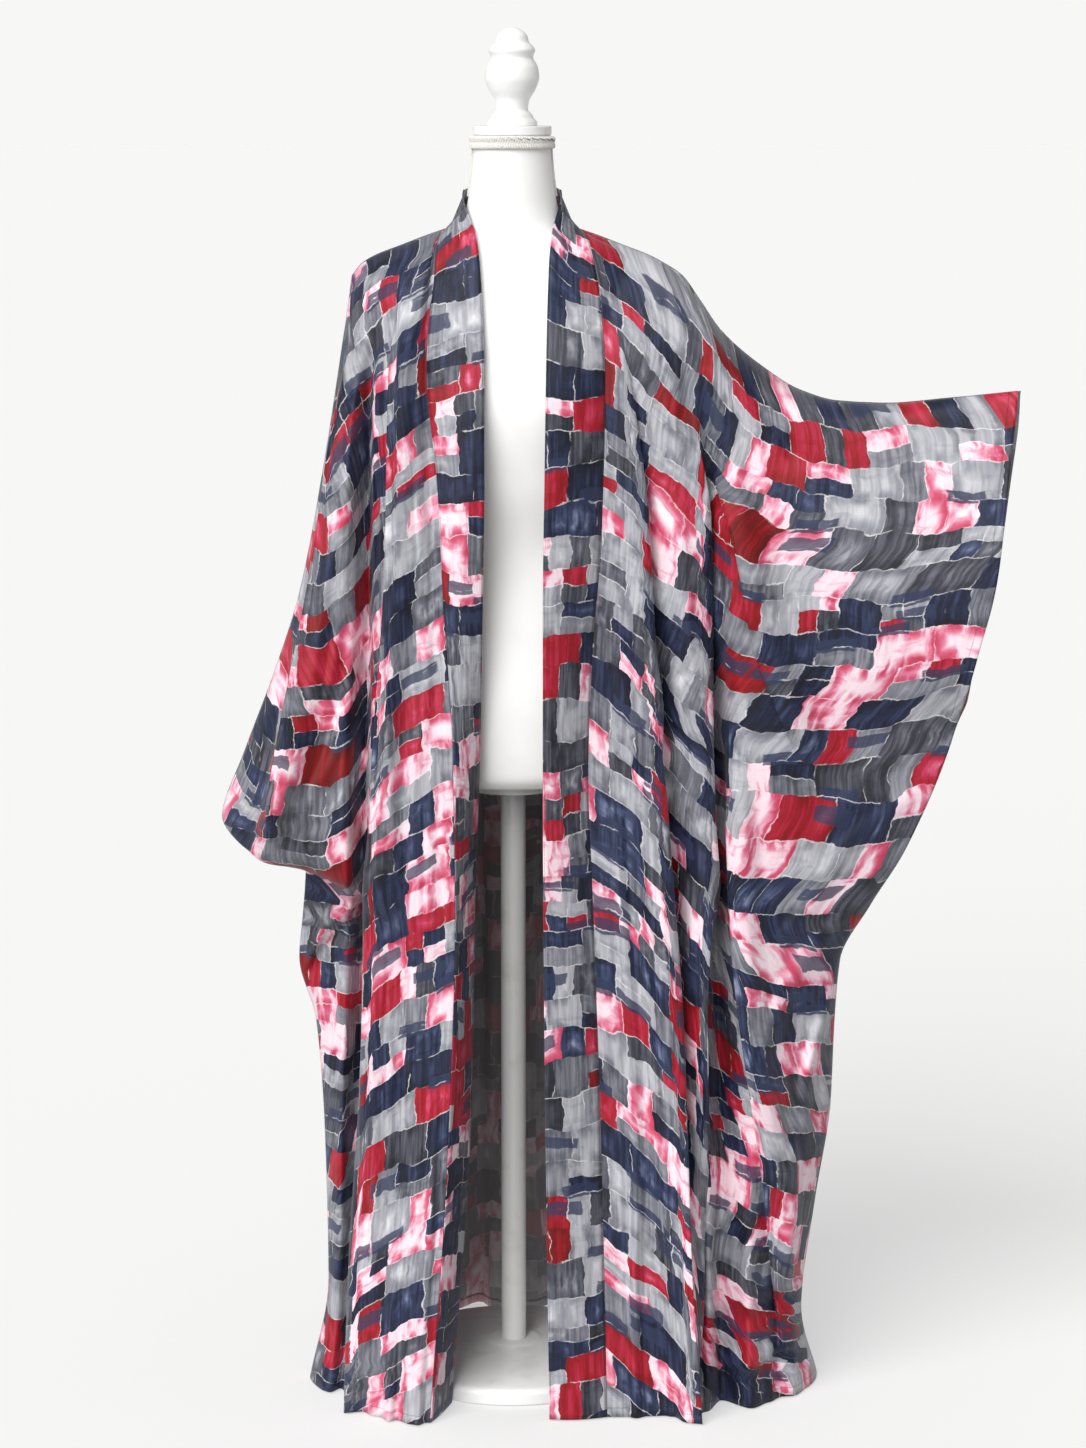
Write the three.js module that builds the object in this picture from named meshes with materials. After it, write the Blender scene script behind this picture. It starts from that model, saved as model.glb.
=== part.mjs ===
// An open batwing kimono robe, floor length, on a limbless dress form with a turned neck finial.
// Millimetres, +Z up. The origin is on the floor under the middle of the stand, the front faces -Y.
// The words left and right are the wearer's: left is +X.
import * as THREE from 'three';
import { mergeVertices } from 'three/addons/utils/BufferGeometryUtils.js';

// Cloth sizes
const clothWall = 1.6;
const bandWall = 2.4;
const seamGap = 0.3;
const restLift = 1.5;
const looseLift = 7;
const neckLift = 3.5;
const liftReach = 22;
const shoulderHeight = 1470;
const chestShare = 0.115;
const hemHeight = 2;
const hemFlareHeight = 130;
const hemFlare = 10;
const bandSwell = 5;
const middleSpread = 4;
const neckRoll = 120;

// How the shapes blend, as shares of the way across or down, and as powers of what is left
const chestBlend = 0.15;
const seamQuiet = 0.1;
const edgeQuiet = 0.12;
const swellStart = 0.1;
const rollFadeStart = 0.3;
const rollFade = 0.2;
const shoulderRelease = 0.25;
const topHold = 2;
const neckHold = 6;

// Opening of the cuff from which the folds run right to its edge
const freeEdgeOpen = 30;

// Lead, tail and fade of a fold, as shares of its length
const foldLead = 0.04;
const foldTail = 0.12;
const foldFade = 0.22;

// Small step for a slope of the form's skin, passes of clearing, distance of joined points
const slopeStep = 0.5;
const clearPasses = 3;
const joinDistance = 0.001;

// Cells round half the neck and across the band
const neckCells = 5;
const bandCells = 3;

// Columns of cells: shares of the way from the band seam to the outer edge, before they are
// crowded towards the band
const raisedColumns = [
  0, 0.045, 0.09, 0.14, 0.19, 0.24, 0.29, 0.34, 0.385, 0.43, 0.48, 0.53, 0.58, 0.63, 0.68, 0.735,
  0.79, 0.845, 0.9, 0.955, 1,
];
const hangingColumns = [
  0, 0.06, 0.12, 0.18, 0.24, 0.3, 0.36, 0.42, 0.48, 0.54, 0.6, 0.66, 0.72, 0.78, 0.82, 0.86,
  0.91, 0.96, 1,
];

// How strongly the columns crowd towards the band, so that they run along the folds
const raisedCrowding = [
  { down: 0, power: 1.5 },
  { down: 0.1, power: 1.9 },
  { down: 0.24, power: 2.3 },
  { down: 0.48, power: 1.56 },
  { down: 0.68, power: 1.22 },
  { down: 0.85, power: 1 },
  { down: 1, power: 1 },
];
const hangingCrowding = [
  { down: 0, power: 1 },
  { down: 1, power: 1 },
];

// Share of the way down from the shoulder line to the hem at each row of cells
const rowShares = [
  0, 0.004, 0.012, 0.028, 0.05, 0.08, 0.115, 0.155, 0.195, 0.235, 0.275, 0.31, 0.35, 0.39, 0.42,
  0.45, 0.48, 0.515, 0.55, 0.58, 0.6, 0.607, 0.63, 0.66, 0.7, 0.75, 0.8, 0.86, 0.92, 0.965, 1,
];

// Form and stand sizes
const poleRadius = 16;
const formRingStep = 50;
const formSides = 36;
const turnedSides = 28;

// Colours and roughness of the finishes
const clothColor = 0x74768a;
const bandColor = 0x8d4a5c;
const formColor = 0xf1efea;
const paintColor = 0xf7f7f5;
const clothRoughness = 0.75;
const formRoughness = 0.9;
const paintRoughness = 0.35;

// Sections of the form from its lower edge to the top of its neck
const formSections = [
  { z: 780, halfWidth: 150, halfDepth: 96, middle: 2, square: 2.3 },
  { z: 792, halfWidth: 162, halfDepth: 106, middle: 2, square: 2.3 },
  { z: 880, halfWidth: 168, halfDepth: 112, middle: 3, square: 2.3 },
  { z: 980, halfWidth: 155, halfDepth: 104, middle: 2, square: 2.3 },
  { z: 1080, halfWidth: 126, halfDepth: 90, middle: -2, square: 2.3 },
  { z: 1160, halfWidth: 140, halfDepth: 100, middle: -6, square: 2.3 },
  { z: 1250, halfWidth: 163, halfDepth: 112, middle: -6, square: 2.4 },
  { z: 1330, halfWidth: 180, halfDepth: 106, middle: 0, square: 2.4 },
  { z: 1390, halfWidth: 186, halfDepth: 92, middle: 4, square: 2.4 },
  { z: 1412, halfWidth: 184, halfDepth: 84, middle: 5, square: 2.3 },
  { z: 1424, halfWidth: 176, halfDepth: 79, middle: 5, square: 2.3 },
  { z: 1432, halfWidth: 162, halfDepth: 75, middle: 5, square: 2.2 },
  { z: 1444, halfWidth: 131, halfDepth: 70, middle: 5, square: 2.2 },
  { z: 1456, halfWidth: 97, halfDepth: 64, middle: 5, square: 2.1 },
  { z: 1468, halfWidth: 71, halfDepth: 58, middle: 4, square: 2 },
  { z: 1490, halfWidth: 58, halfDepth: 54, middle: 3, square: 2 },
  { z: 1520, halfWidth: 52, halfDepth: 51, middle: 1, square: 2 },
  { z: 1560, halfWidth: 48, halfDepth: 48, middle: 0, square: 2 },
  { z: 1582, halfWidth: 47, halfDepth: 47, middle: 0, square: 2 },
];
const formBottom = formSections[0].z;
const formTop = formSections[formSections.length - 1].z;

// Radii of the turned finial, from the foot on the neck plate up to the round top
const finialProfile = [
  { z: 0, radius: 0 },
  { z: 0, radius: 31 },
  { z: 6, radius: 30 },
  { z: 9, radius: 27 },
  { z: 13, radius: 25 },
  { z: 20, radius: 19.5 },
  { z: 30, radius: 21 },
  { z: 44, radius: 29 },
  { z: 58, radius: 33.5 },
  { z: 70, radius: 32 },
  { z: 82, radius: 26 },
  { z: 85, radius: 26.5 },
  { z: 91, radius: 28.5 },
  { z: 97, radius: 25 },
  { z: 101, radius: 21 },
  { z: 109, radius: 18.5 },
  { z: 115, radius: 12.5 },
  { z: 119, radius: 0 },
];
const neckPlateRadius = 48.5;
const neckPlateThickness = 11;
const neckPlateEdge = 1.5;
const bottomPlateRadius = 62;
const bottomPlateThickness = 14;
const bottomPlateEdge = 2;

// Radii of the round base, from the floor up to the flat under the pole
const baseProfile = [
  { z: 0, radius: 0 },
  { z: 0, radius: 162 },
  { z: 3, radius: 165 },
  { z: 14, radius: 165 },
  { z: 20, radius: 161 },
  { z: 26, radius: 125 },
  { z: 32, radius: 40 },
  { z: 34, radius: 30 },
  { z: 34, radius: 0 },
];

// Line along the top of the cloth, from the neck seam outwards
const raisedTopLine = [
  { along: 0, x: 76, y: 3, z: 1470 },
  { along: 0.06, x: 108, y: 2, z: 1459 },
  { along: 0.115, x: 138, y: 1, z: 1447.5 },
  { along: 0.17, x: 168, y: 0, z: 1436 },
  { along: 0.21, x: 189, y: -2, z: 1425 },
  { along: 0.25, x: 210, y: -6, z: 1411 },
  { along: 0.29, x: 232, y: -14, z: 1381 },
  { along: 0.34, x: 258, y: -24, z: 1344 },
  { along: 0.43, x: 306, y: -43, z: 1303 },
  { along: 0.52, x: 354, y: -62, z: 1274 },
  { along: 0.61, x: 401, y: -82, z: 1262 },
  { along: 0.7, x: 449, y: -100, z: 1261 },
  { along: 0.855, x: 531, y: -128, z: 1270 },
  { along: 1, x: 610, y: -150, z: 1280 },
];
const hangingTopLine = [
  { along: 0, x: -76, y: 3, z: 1470 },
  { along: 0.27, x: -108, y: 2, z: 1459 },
  { along: 0.53, x: -138, y: 1, z: 1447.5 },
  { along: 0.78, x: -168, y: 0, z: 1436 },
  { along: 0.93, x: -186, y: -2, z: 1425.5 },
  { along: 1, x: -198, y: -5, z: 1411 },
];

// Outer edge of each half, by share of the way down: the cuff edge, then the side seam.
// The column y is the middle of the two layers and open is how far apart they stand there.
// The columns round and blunt say how the front turns back towards that edge.
const raisedOuterEdge = [
  { down: 0, x: 610, z: 1280, y: -150, open: 14, round: 1.6, blunt: 1.0 },
  { down: 0.085, x: 598, z: 1174, y: -157, open: 42, round: 1.6, blunt: 1.0 },
  { down: 0.18, x: 585, z: 1054, y: -160, open: 64, round: 1.6, blunt: 1.0 },
  { down: 0.26, x: 563, z: 955, y: -153, open: 62, round: 1.7, blunt: 1.1 },
  { down: 0.35, x: 538, z: 845, y: -140, open: 0, round: 1.8, blunt: 1.3 },
  { down: 0.45, x: 488, z: 707, y: -110, open: 0, round: 1.9, blunt: 1.5 },
  { down: 0.51, x: 448, z: 631, y: -85, open: 0, round: 2.0, blunt: 1.7 },
  { down: 0.575, x: 413, z: 554, y: -60, open: 0, round: 2.1, blunt: 1.9 },
  { down: 0.65, x: 408, z: 473, y: -50, open: 0, round: 2.2, blunt: 2.0 },
  { down: 0.73, x: 405, z: 366, y: -45, open: 0, round: 2.2, blunt: 2.0 },
  { down: 0.82, x: 387, z: 240, y: -48, open: 0, round: 2.2, blunt: 2.0 },
  { down: 0.925, x: 370, z: 96, y: -56, open: 0, round: 2.2, blunt: 2.0 },
  { down: 1, x: 392, z: 2, y: -45, open: 0, round: 2.2, blunt: 2.0 },
];
const hangingOuterEdge = [
  { down: 0, x: -198, z: 1411, y: -5, open: 0, round: 2.2, blunt: 2.0 },
  { down: 0.05, x: -208, z: 1343, y: -10, open: 0, round: 2.2, blunt: 2.0 },
  { down: 0.155, x: -234, z: 1182, y: -16, open: 0, round: 2.2, blunt: 1.9 },
  { down: 0.26, x: -266, z: 1020, y: -24, open: 0, round: 2.2, blunt: 1.8 },
  { down: 0.325, x: -298, z: 920, y: -32, open: 0, round: 2.2, blunt: 1.7 },
  { down: 0.385, x: -336, z: 821, y: -42, open: 0, round: 2.2, blunt: 1.6 },
  { down: 0.45, x: -365, z: 737, y: -52, open: 0, round: 2.2, blunt: 1.4 },
  { down: 0.48, x: -342, z: 709, y: -50, open: 56, round: 2.2, blunt: 1.2 },
  { down: 0.515, x: -306, z: 692, y: -51, open: 106, round: 2.1, blunt: 1.1 },
  { down: 0.56, x: -278, z: 682, y: -45, open: 94, round: 2.0, blunt: 1.1 },
  { down: 0.6, x: -262, z: 672, y: -26, open: 0, round: 1.7, blunt: 1.2 },
  { down: 0.63, x: -264, z: 640, y: -20, open: 0, round: 1.4, blunt: 1.2 },
  { down: 0.66, x: -268, z: 598, y: -14, open: 0, round: 1.4, blunt: 1.2 },
  { down: 0.7, x: -273, z: 545, y: -10, open: 0, round: 1.4, blunt: 1.2 },
  { down: 0.76, x: -252, z: 462, y: -12, open: 0, round: 1.5, blunt: 1.3 },
  { down: 0.84, x: -242, z: 320, y: -22, open: 0, round: 1.6, blunt: 1.4 },
  { down: 0.93, x: -238, z: 130, y: -44, open: 0, round: 1.8, blunt: 1.5 },
  { down: 1, x: -262, z: 2, y: -64, open: 0, round: 1.8, blunt: 1.5 },
];

// Seam of the front band to each front
const raisedBandSeam = [
  { down: 0, x: 76, y: 3 },
  { down: 0.02, x: 88, y: -36 },
  { down: 0.05, x: 104, y: -74 },
  { down: 0.115, x: 113, y: -108 },
  { down: 0.25, x: 109, y: -120 },
  { down: 0.35, x: 98, y: -126 },
  { down: 0.45, x: 93, y: -132 },
  { down: 0.56, x: 99, y: -146 },
  { down: 0.77, x: 110, y: -170 },
  { down: 1, x: 118, y: -196 },
];
const hangingBandSeam = [
  { down: 0, x: -76, y: 3 },
  { down: 0.02, x: -84, y: -36 },
  { down: 0.05, x: -93, y: -72 },
  { down: 0.115, x: -103, y: -106 },
  { down: 0.21, x: -90, y: -130 },
  { down: 0.31, x: -83, y: -144 },
  { down: 0.43, x: -72, y: -168 },
  { down: 0.56, x: -70, y: -182 },
  { down: 0.77, x: -80, y: -200 },
  { down: 1, x: -103, y: -216 },
];

// Free edge of the band, with its height above the seam at the same share of the way down
const raisedBandEdge = [
  { down: 0, x: 57, y: 5, above: 45 },
  { down: 0.02, x: 50, y: -28, above: 43 },
  { down: 0.05, x: 45, y: -68, above: 34 },
  { down: 0.115, x: 42, y: -118, above: 14 },
  { down: 0.2, x: 40, y: -146, above: 2 },
  { down: 0.31, x: 38, y: -158, above: 0 },
  { down: 0.47, x: 38, y: -170, above: 0 },
  { down: 0.69, x: 40, y: -190, above: 0 },
  { down: 1, x: 46, y: -214, above: 0 },
];
const hangingBandEdge = [
  { down: 0, x: -57, y: 5, above: 45 },
  { down: 0.02, x: -47, y: -28, above: 43 },
  { down: 0.05, x: -39, y: -68, above: 34 },
  { down: 0.115, x: -33, y: -118, above: 14 },
  { down: 0.2, x: -33, y: -140, above: 2 },
  { down: 0.31, x: -36, y: -138, above: 0 },
  { down: 0.43, x: -40, y: -128, above: 0 },
  { down: 0.56, x: -47, y: -126, above: 0 },
  { down: 0.74, x: -52, y: -142, above: 0 },
  { down: 1, x: -78, y: -154, above: 0 },
];

// The seam and the free edge behind the neck, at its middle
const neckSeam = { radiusX: 76, radiusY: 81, startY: 3, startZ: 1470, backZ: 1448 };
const neckEdge = { radiusX: 57, radiusY: 60, startY: 5, startZ: 1515, backZ: 1521 };

// Depth of the back at its middle, by share of the way down
const backDepth = [
  { down: 0, y: 84 },
  { down: 0.05, y: 100 },
  { down: 0.115, y: 110 },
  { down: 0.25, y: 116 },
  { down: 0.42, y: 126 },
  { down: 0.65, y: 150 },
  { down: 1, y: 192 },
];

// How far below the top line the cloth rolls over to its full depth
const raisedRoll = [
  { along: 0, reach: 120 },
  { along: 0.17, reach: 115 },
  { along: 0.3, reach: 70 },
  { along: 0.5, reach: 34 },
  { along: 0.75, reach: 20 },
  { along: 1, reach: 16 },
];
const hangingRoll = [
  { along: 0, reach: 120 },
  { along: 0.8, reach: 115 },
  { along: 1, reach: 100 },
];

// Largest folds: each runs from one point of the front view to another, bowed sideways, and stands
// proud by its depth, or is sunk where the depth is below zero. The wall rises over the width
// before it and falls over the width after it, counted along +X for an upright fold.
const raisedFrontFolds = [
  { fromX: 146, fromZ: 1150, toX: 224, toZ: 0, bow: 0, before: 36, after: 20, start: 5, end: 26 },
  { fromX: 163, fromZ: 1150, toX: 241, toZ: 0, bow: 2, before: 20, after: 20, start: -4, end: -12 },
  { fromX: 200, fromZ: 1200, toX: 243, toZ: 0, bow: 16, before: 26, after: 20, start: 5, end: 20 },
  { fromX: 212, fromZ: 1240, toX: 262, toZ: 0, bow: 20, before: 22, after: 36, start: -9, end: -36 },
  { fromX: 250, fromZ: 1190, toX: 366, toZ: 820, bow: 0, before: 46, after: 56, start: 10, end: 10 },
  { fromX: 232, fromZ: 1160, toX: 346, toZ: 740, bow: -8, before: 38, after: 46, start: 8, end: 12 },
  { fromX: 262, fromZ: 640, toX: 362, toZ: 150, bow: 10, before: 34, after: 66, start: 10, end: 24 },
  { fromX: 300, fromZ: 1190, toX: 520, toZ: 860, bow: 20, before: 60, after: 70, start: 6, end: 5 },
];
const hangingFrontFolds = [
  { fromX: -130, fromZ: 1400, toX: -203, toZ: 0, bow: 8, before: 18, after: 36, start: 6, end: 18 },
  { fromX: -169, fromZ: 1330, toX: -218, toZ: 0, bow: 12, before: 26, after: 20, start: -16, end: -34 },
  { fromX: -112, fromZ: 1330, toX: -126, toZ: 0, bow: 0, before: 20, after: 22, start: 3, end: 9 },
  { fromX: -192, fromZ: 1390, toX: -309, toZ: 724, bow: 12, before: 18, after: 58, start: 10, end: 50 },
  { fromX: -196, fromZ: 592, toX: -272, toZ: 552, bow: -8, before: 36, after: 30, start: 14, end: 6 },
];
const raisedBackFolds = [
  { fromX: 44, fromZ: 1300, toX: 62, toZ: 0, bow: 0, before: 38, after: 34, start: 3, end: 24 },
  { fromX: 112, fromZ: 1280, toX: 150, toZ: 0, bow: 4, before: 30, after: 36, start: 4, end: 30 },
  { fromX: 160, fromZ: 1240, toX: 236, toZ: 0, bow: 8, before: 34, after: 28, start: 5, end: 28 },
  { fromX: 190, fromZ: 1260, toX: 322, toZ: 0, bow: 22, before: 36, after: 40, start: 6, end: 24 },
  { fromX: 220, fromZ: 1300, toX: 400, toZ: 700, bow: 10, before: 40, after: 44, start: 7, end: 12 },
  { fromX: 300, fromZ: 1230, toX: 520, toZ: 840, bow: 14, before: 46, after: 54, start: 7, end: 6 },
];
const hangingBackFolds = [
  { fromX: -40, fromZ: 1300, toX: -54, toZ: 0, bow: 0, before: 34, after: 38, start: 3, end: 22 },
  { fromX: -104, fromZ: 1280, toX: -132, toZ: 0, bow: 4, before: 32, after: 30, start: 4, end: 28 },
  { fromX: -156, fromZ: 1330, toX: -196, toZ: 0, bow: 8, before: 26, after: 34, start: 5, end: 26 },
  { fromX: -190, fromZ: 1370, toX: -288, toZ: 730, bow: 4, before: 24, after: 46, start: 8, end: 22 },
];

// Lower edge of the hanging sleeve's front: below this row the robe's side stands back by a share
// of its depth, outwards from a line beside the body, and less so towards the hem
const sleeveStep = { down: 0.6, rise: 0.007, innerX: -182, blend: 20, share: 0.6, hemShare: 0.15 };

const halves = {
  left: {
    sign: 1,
    columns: raisedColumns,
    crowding: raisedCrowding,
    topLine: raisedTopLine,
    outerEdge: raisedOuterEdge,
    bandSeam: raisedBandSeam,
    bandEdge: raisedBandEdge,
    roll: raisedRoll,
    frontFolds: raisedFrontFolds,
    backFolds: raisedBackFolds,
    sleeveStep: null,
  },
  right: {
    sign: -1,
    columns: hangingColumns,
    crowding: hangingCrowding,
    topLine: hangingTopLine,
    outerEdge: hangingOuterEdge,
    bandSeam: hangingBandSeam,
    bandEdge: hangingBandEdge,
    roll: hangingRoll,
    frontFolds: hangingFrontFolds,
    backFolds: hangingBackFolds,
    sleeveStep,
  },
};

function clamp01(value) {
  return Math.min(1, Math.max(0, value));
}

function smooth(value) {
  const part = clamp01(value);
  return part * part * (3 - 2 * part);
}

function mix(a, b, share) {
  return a + (b - a) * share;
}

// Height of a quarter circle: 0 at the start, level at the end
function quarterRound(value) {
  const left = 1 - clamp01(value);
  return Math.sqrt(1 - left * left);
}

// Slope at a row of a table, level at a turning point so that the curve never overshoots
function slopeAt(rows, key, column, row) {
  const last = rows.length - 1;
  const rise = (from) =>
    (rows[from + 1][column] - rows[from][column]) / (rows[from + 1][key] - rows[from][key]);
  if (row === 0) {
    return rise(0);
  }
  if (row === last) {
    return rise(last - 1);
  }
  const before = rise(row - 1);
  const after = rise(row);
  return before * after <= 0 ? 0 : (2 * before * after) / (before + after);
}

// Value of one column of a table at a place between its rows, on a smooth curve
function read(rows, key, column, place) {
  const last = rows.length - 1;
  const at = Math.min(Math.max(place, rows[0][key]), rows[last][key]);
  let row = 0;
  while (row < last - 1 && rows[row + 1][key] < at) {
    row += 1;
  }
  const span = rows[row + 1][key] - rows[row][key];
  const u = (at - rows[row][key]) / span;
  const u2 = u * u;
  const u3 = u2 * u;
  return (
    rows[row][column] * (2 * u3 - 3 * u2 + 1) +
    slopeAt(rows, key, column, row) * span * (u3 - 2 * u2 + u) +
    rows[row + 1][column] * (3 * u2 - 2 * u3) +
    slopeAt(rows, key, column, row + 1) * span * (u3 - u2)
  );
}

// How far outside the form's skin a point is, as a share of the section's size
function formReach(point) {
  const z = Math.min(Math.max(point.z, formBottom), formTop);
  const across = Math.abs(point.x) / read(formSections, 'z', 'halfWidth', z);
  const deep = Math.abs(point.y - read(formSections, 'z', 'middle', z)) /
    read(formSections, 'z', 'halfDepth', z);
  const square = read(formSections, 'z', 'square', z);
  return (across ** square + deep ** square) ** (1 / square);
}

// Moves a point of the cloth out until it lies clear of the form
function clearOfForm(point, clearance) {
  if (point.z < formBottom - looseLift) {
    return point;
  }
  for (let pass = 0; pass < clearPasses; pass += 1) {
    const reach = formReach(point);
    const slope = new THREE.Vector3(
      formReach(point.clone().setX(point.x + slopeStep)) - reach,
      formReach(point.clone().setY(point.y + slopeStep)) - reach,
      formReach(point.clone().setZ(point.z + slopeStep)) - reach,
    ).divideScalar(slopeStep);
    const distance = (reach - 1) / slope.length();
    if (distance >= clearance) {
      return point;
    }
    point.addScaledVector(slope.normalize(), clearance - distance);
  }
  return point;
}

// Bell-shaped rise, 1 in the middle and 0 from one width away
function bell(value) {
  const part = Math.min(1, Math.abs(value));
  return (1 + Math.cos(Math.PI * part)) / 2;
}

// How far the folds of a table stand proud at a place in the front view
function foldDepth(folds, x, z) {
  let depth = 0;
  for (const fold of folds) {
    const runX = fold.toX - fold.fromX;
    const runZ = fold.toZ - fold.fromZ;
    const length = Math.hypot(runX, runZ);
    const along = ((x - fold.fromX) * runX + (z - fold.fromZ) * runZ) / (length * length);
    const bowed = fold.bow * 4 * clamp01(along) * (1 - clamp01(along));
    const off = ((z - fold.fromZ) * runX - (x - fold.fromX) * runZ) / length - bowed;
    const width = off < 0 ? fold.before : fold.after;
    const fadeOut = fold.toZ > hemHeight ? smooth((1 + foldTail - along) / foldFade) : 1;
    const present = smooth((along + foldLead) / foldFade) * fadeOut;
    depth += mix(fold.start, fold.end, clamp01(along)) * bell(off / width) * present;
  }
  return depth;
}

// Seam of the band to the front at a share of the way down
function seamPoint(half, down) {
  return new THREE.Vector3(
    read(half.bandSeam, 'down', 'x', down),
    read(half.bandSeam, 'down', 'y', down),
    mix(shoulderHeight, hemHeight, down),
  );
}

// Front view place of the cloth: ruled from the seam to the outer edge, bent to the top line
function panelPlace(half, across, down) {
  const seam = seamPoint(half, down);
  const outerX = read(half.outerEdge, 'down', 'x', down);
  const outerZ = read(half.outerEdge, 'down', 'z', down);
  const topStart = half.topLine[0];
  const topEnd = half.topLine[half.topLine.length - 1];
  const topX = read(half.topLine, 'along', 'x', across) - mix(topStart.x, topEnd.x, across);
  const topZ = read(half.topLine, 'along', 'z', across) - mix(topStart.z, topEnd.z, across);
  const hold = (1 - down) ** topHold;
  return {
    x: mix(seam.x, outerX, across) + topX * hold,
    z: mix(seam.z, outerZ, across) + topZ * hold,
  };
}

// Share by which the robe's side stands back behind the lower edge of the hanging sleeve
function stepShare(step, x, down) {
  const beside = smooth((step.innerX + step.blend / 2 - x) / step.blend);
  const below = clamp01((down - step.down) / step.rise);
  return mix(step.share, step.hemShare, smooth((down - step.down) / (1 - step.down))) * beside * below;
}

// A point of the front or back layer, before it gets its wall
function panelPoint(half, layer, across, down) {
  const { x, z } = panelPlace(half, across, down);
  const front = layer === 'front';
  const seamY = read(half.bandSeam, 'down', 'y', down);
  const chestY = read(half.bandSeam, 'down', 'y', Math.max(down, chestShare));
  const frontY = mix(seamY, chestY, smooth(across / chestBlend));
  const startY = front ? frontY : read(backDepth, 'down', 'y', down);
  const open = read(half.outerEdge, 'down', 'open', down);
  const outerY = read(half.outerEdge, 'down', 'y', down) + (front ? -open / 2 : open / 2);
  const round = read(half.outerEdge, 'down', 'round', down);
  const blunt = read(half.outerEdge, 'down', 'blunt', down);
  const turn = (1 - across ** round) ** (1 / blunt);
  const folds = front ? half.frontFolds : half.backFolds;
  const edgeHold = mix(smooth((1 - across) / edgeQuiet), 1, smooth(open / freeEdgeOpen));
  const seamHold = smooth(across / seamQuiet);
  const proud = foldDepth(folds, x, z) * edgeHold * (front ? seamHold : 1);
  const back = front && half.sleeveStep ? stepShare(half.sleeveStep, x, down) : 0;
  const flare = z < hemFlareHeight ? hemFlare * (1 - z / hemFlareHeight) ** 2 : 0;
  const body = mix(outerY, startY, turn * (1 - back)) + (front ? -1 : 1) * (proud + flare * turn);
  const topY = read(half.topLine, 'along', 'y', across);
  const below = read(half.topLine, 'along', 'z', across) - z;
  const roll = quarterRound(below / read(half.roll, 'along', 'reach', across));
  const lower = mix(roll, 1, smooth((down - rollFadeStart) / rollFade));
  const rolled = down === 0 ? 0 : mix(front ? 1 : lower, lower, smooth(across / seamQuiet));
  const point = new THREE.Vector3(x, mix(topY, body, rolled), z);
  return clearOfForm(point, mix(restLift, looseLift, smooth(below / liftReach)));
}

// Clearance of the neck seam, least where it crosses the shoulder
function neckClearance(turn) {
  return mix(restLift, neckLift, smooth(turn / shoulderRelease));
}

// A point round the back of the neck: turn is 0 at the shoulder seam and 1 at the middle
function neckPoint(ring, sign, turn) {
  const angle = (turn * Math.PI) / 2;
  return new THREE.Vector3(
    sign * ring.radiusX * Math.cos(angle),
    ring.startY + ring.radiusY * Math.sin(angle),
    mix(ring.startZ, ring.backZ, Math.sin(angle)),
  );
}

// A point of the back between its middle and the line under the neck seam
function backMiddlePoint(half, turn, down) {
  const side = panelPoint(half, 'back', 0, down);
  const neck = neckPoint(neckSeam, half.sign, turn);
  const flatX = half.sign * Math.abs(side.x) * (1 - turn);
  const hold = (1 - down) ** neckHold;
  const z = mix(shoulderHeight, hemHeight, down) + (neck.z - shoulderHeight) * (1 - down);
  const x = mix(flatX, neck.x, hold);
  const depth = read(backDepth, 'down', 'y', down) + middleSpread * turn * down;
  const roll = quarterRound((neck.z - z) / neckRoll);
  const y = mix(neck.y, depth, down === 0 ? 0 : roll) + foldDepth(half.backFolds, x, z);
  const lift = mix(neckClearance(turn), looseLift, smooth((neck.z - z) / liftReach));
  return clearOfForm(new THREE.Vector3(x, down === 0 ? neck.y : y, z), lift);
}

// A point of the front band: over is 0 at the free edge and 1 at the seam
function bandPoint(half, over, down) {
  const seam = panelPoint(half, 'front', 0, down);
  const free = new THREE.Vector3(
    read(half.bandEdge, 'down', 'x', down),
    read(half.bandEdge, 'down', 'y', down),
    mix(shoulderHeight, hemHeight, down) + read(half.bandEdge, 'down', 'above', down),
  );
  const point = free.lerp(seam, over);
  const swell = bandSwell * Math.sin(Math.PI * over) * smooth(down / swellStart);
  point.y -= swell;
  return clearOfForm(point, looseLift * (1 - over) + restLift * over);
}

// A point of the band behind the neck
function bandNeckPoint(half, over, turn) {
  const free = neckPoint(neckEdge, half.sign, turn);
  const seam = neckPoint(neckSeam, half.sign, turn);
  return clearOfForm(free.lerp(seam, over), neckClearance(turn));
}

// One layer of a half as a net of points, a list of rows for each column
function layerNet(half, layer) {
  return half.columns.map((column) => rowShares.map((down) => {
    const across = column ** read(half.crowding, 'down', 'power', down);
    return panelPoint(half, layer, across, down);
  }));
}

function backHalfNet(half) {
  const middle = Array.from({ length: neckCells }, (unused, cell) => {
    const turn = 1 - cell / neckCells;
    return rowShares.map((down) => backMiddlePoint(half, turn, down));
  });
  return [...middle, ...layerNet(half, 'back')];
}

// The whole back, from the wearer's right edge to the left one
function backNet() {
  const right = backHalfNet(halves.right).slice(1).reverse();
  return [...right, ...backHalfNet(halves.left)];
}

function bandNet(half) {
  return Array.from({ length: bandCells + 1 }, (unused, cell) => {
    const over = cell / bandCells;
    const neck = Array.from({ length: neckCells }, (unused2, turnCell) =>
      bandNeckPoint(half, over, 1 - turnCell / neckCells));
    return [...neck, ...rowShares.map((down) => bandPoint(half, over, down))];
  });
}

// Unit normals of a net, each from the points beside it
function netNormals(net) {
  const columns = net.length;
  const rows = net[0].length;
  return net.map((column, i) => column.map((point, j) => {
    const across = net[Math.min(i + 1, columns - 1)][j].clone().sub(net[Math.max(i - 1, 0)][j]);
    const down = column[Math.min(j + 1, rows - 1)].clone().sub(column[Math.max(j - 1, 0)]);
    return across.cross(down).normalize();
  }));
}

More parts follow.
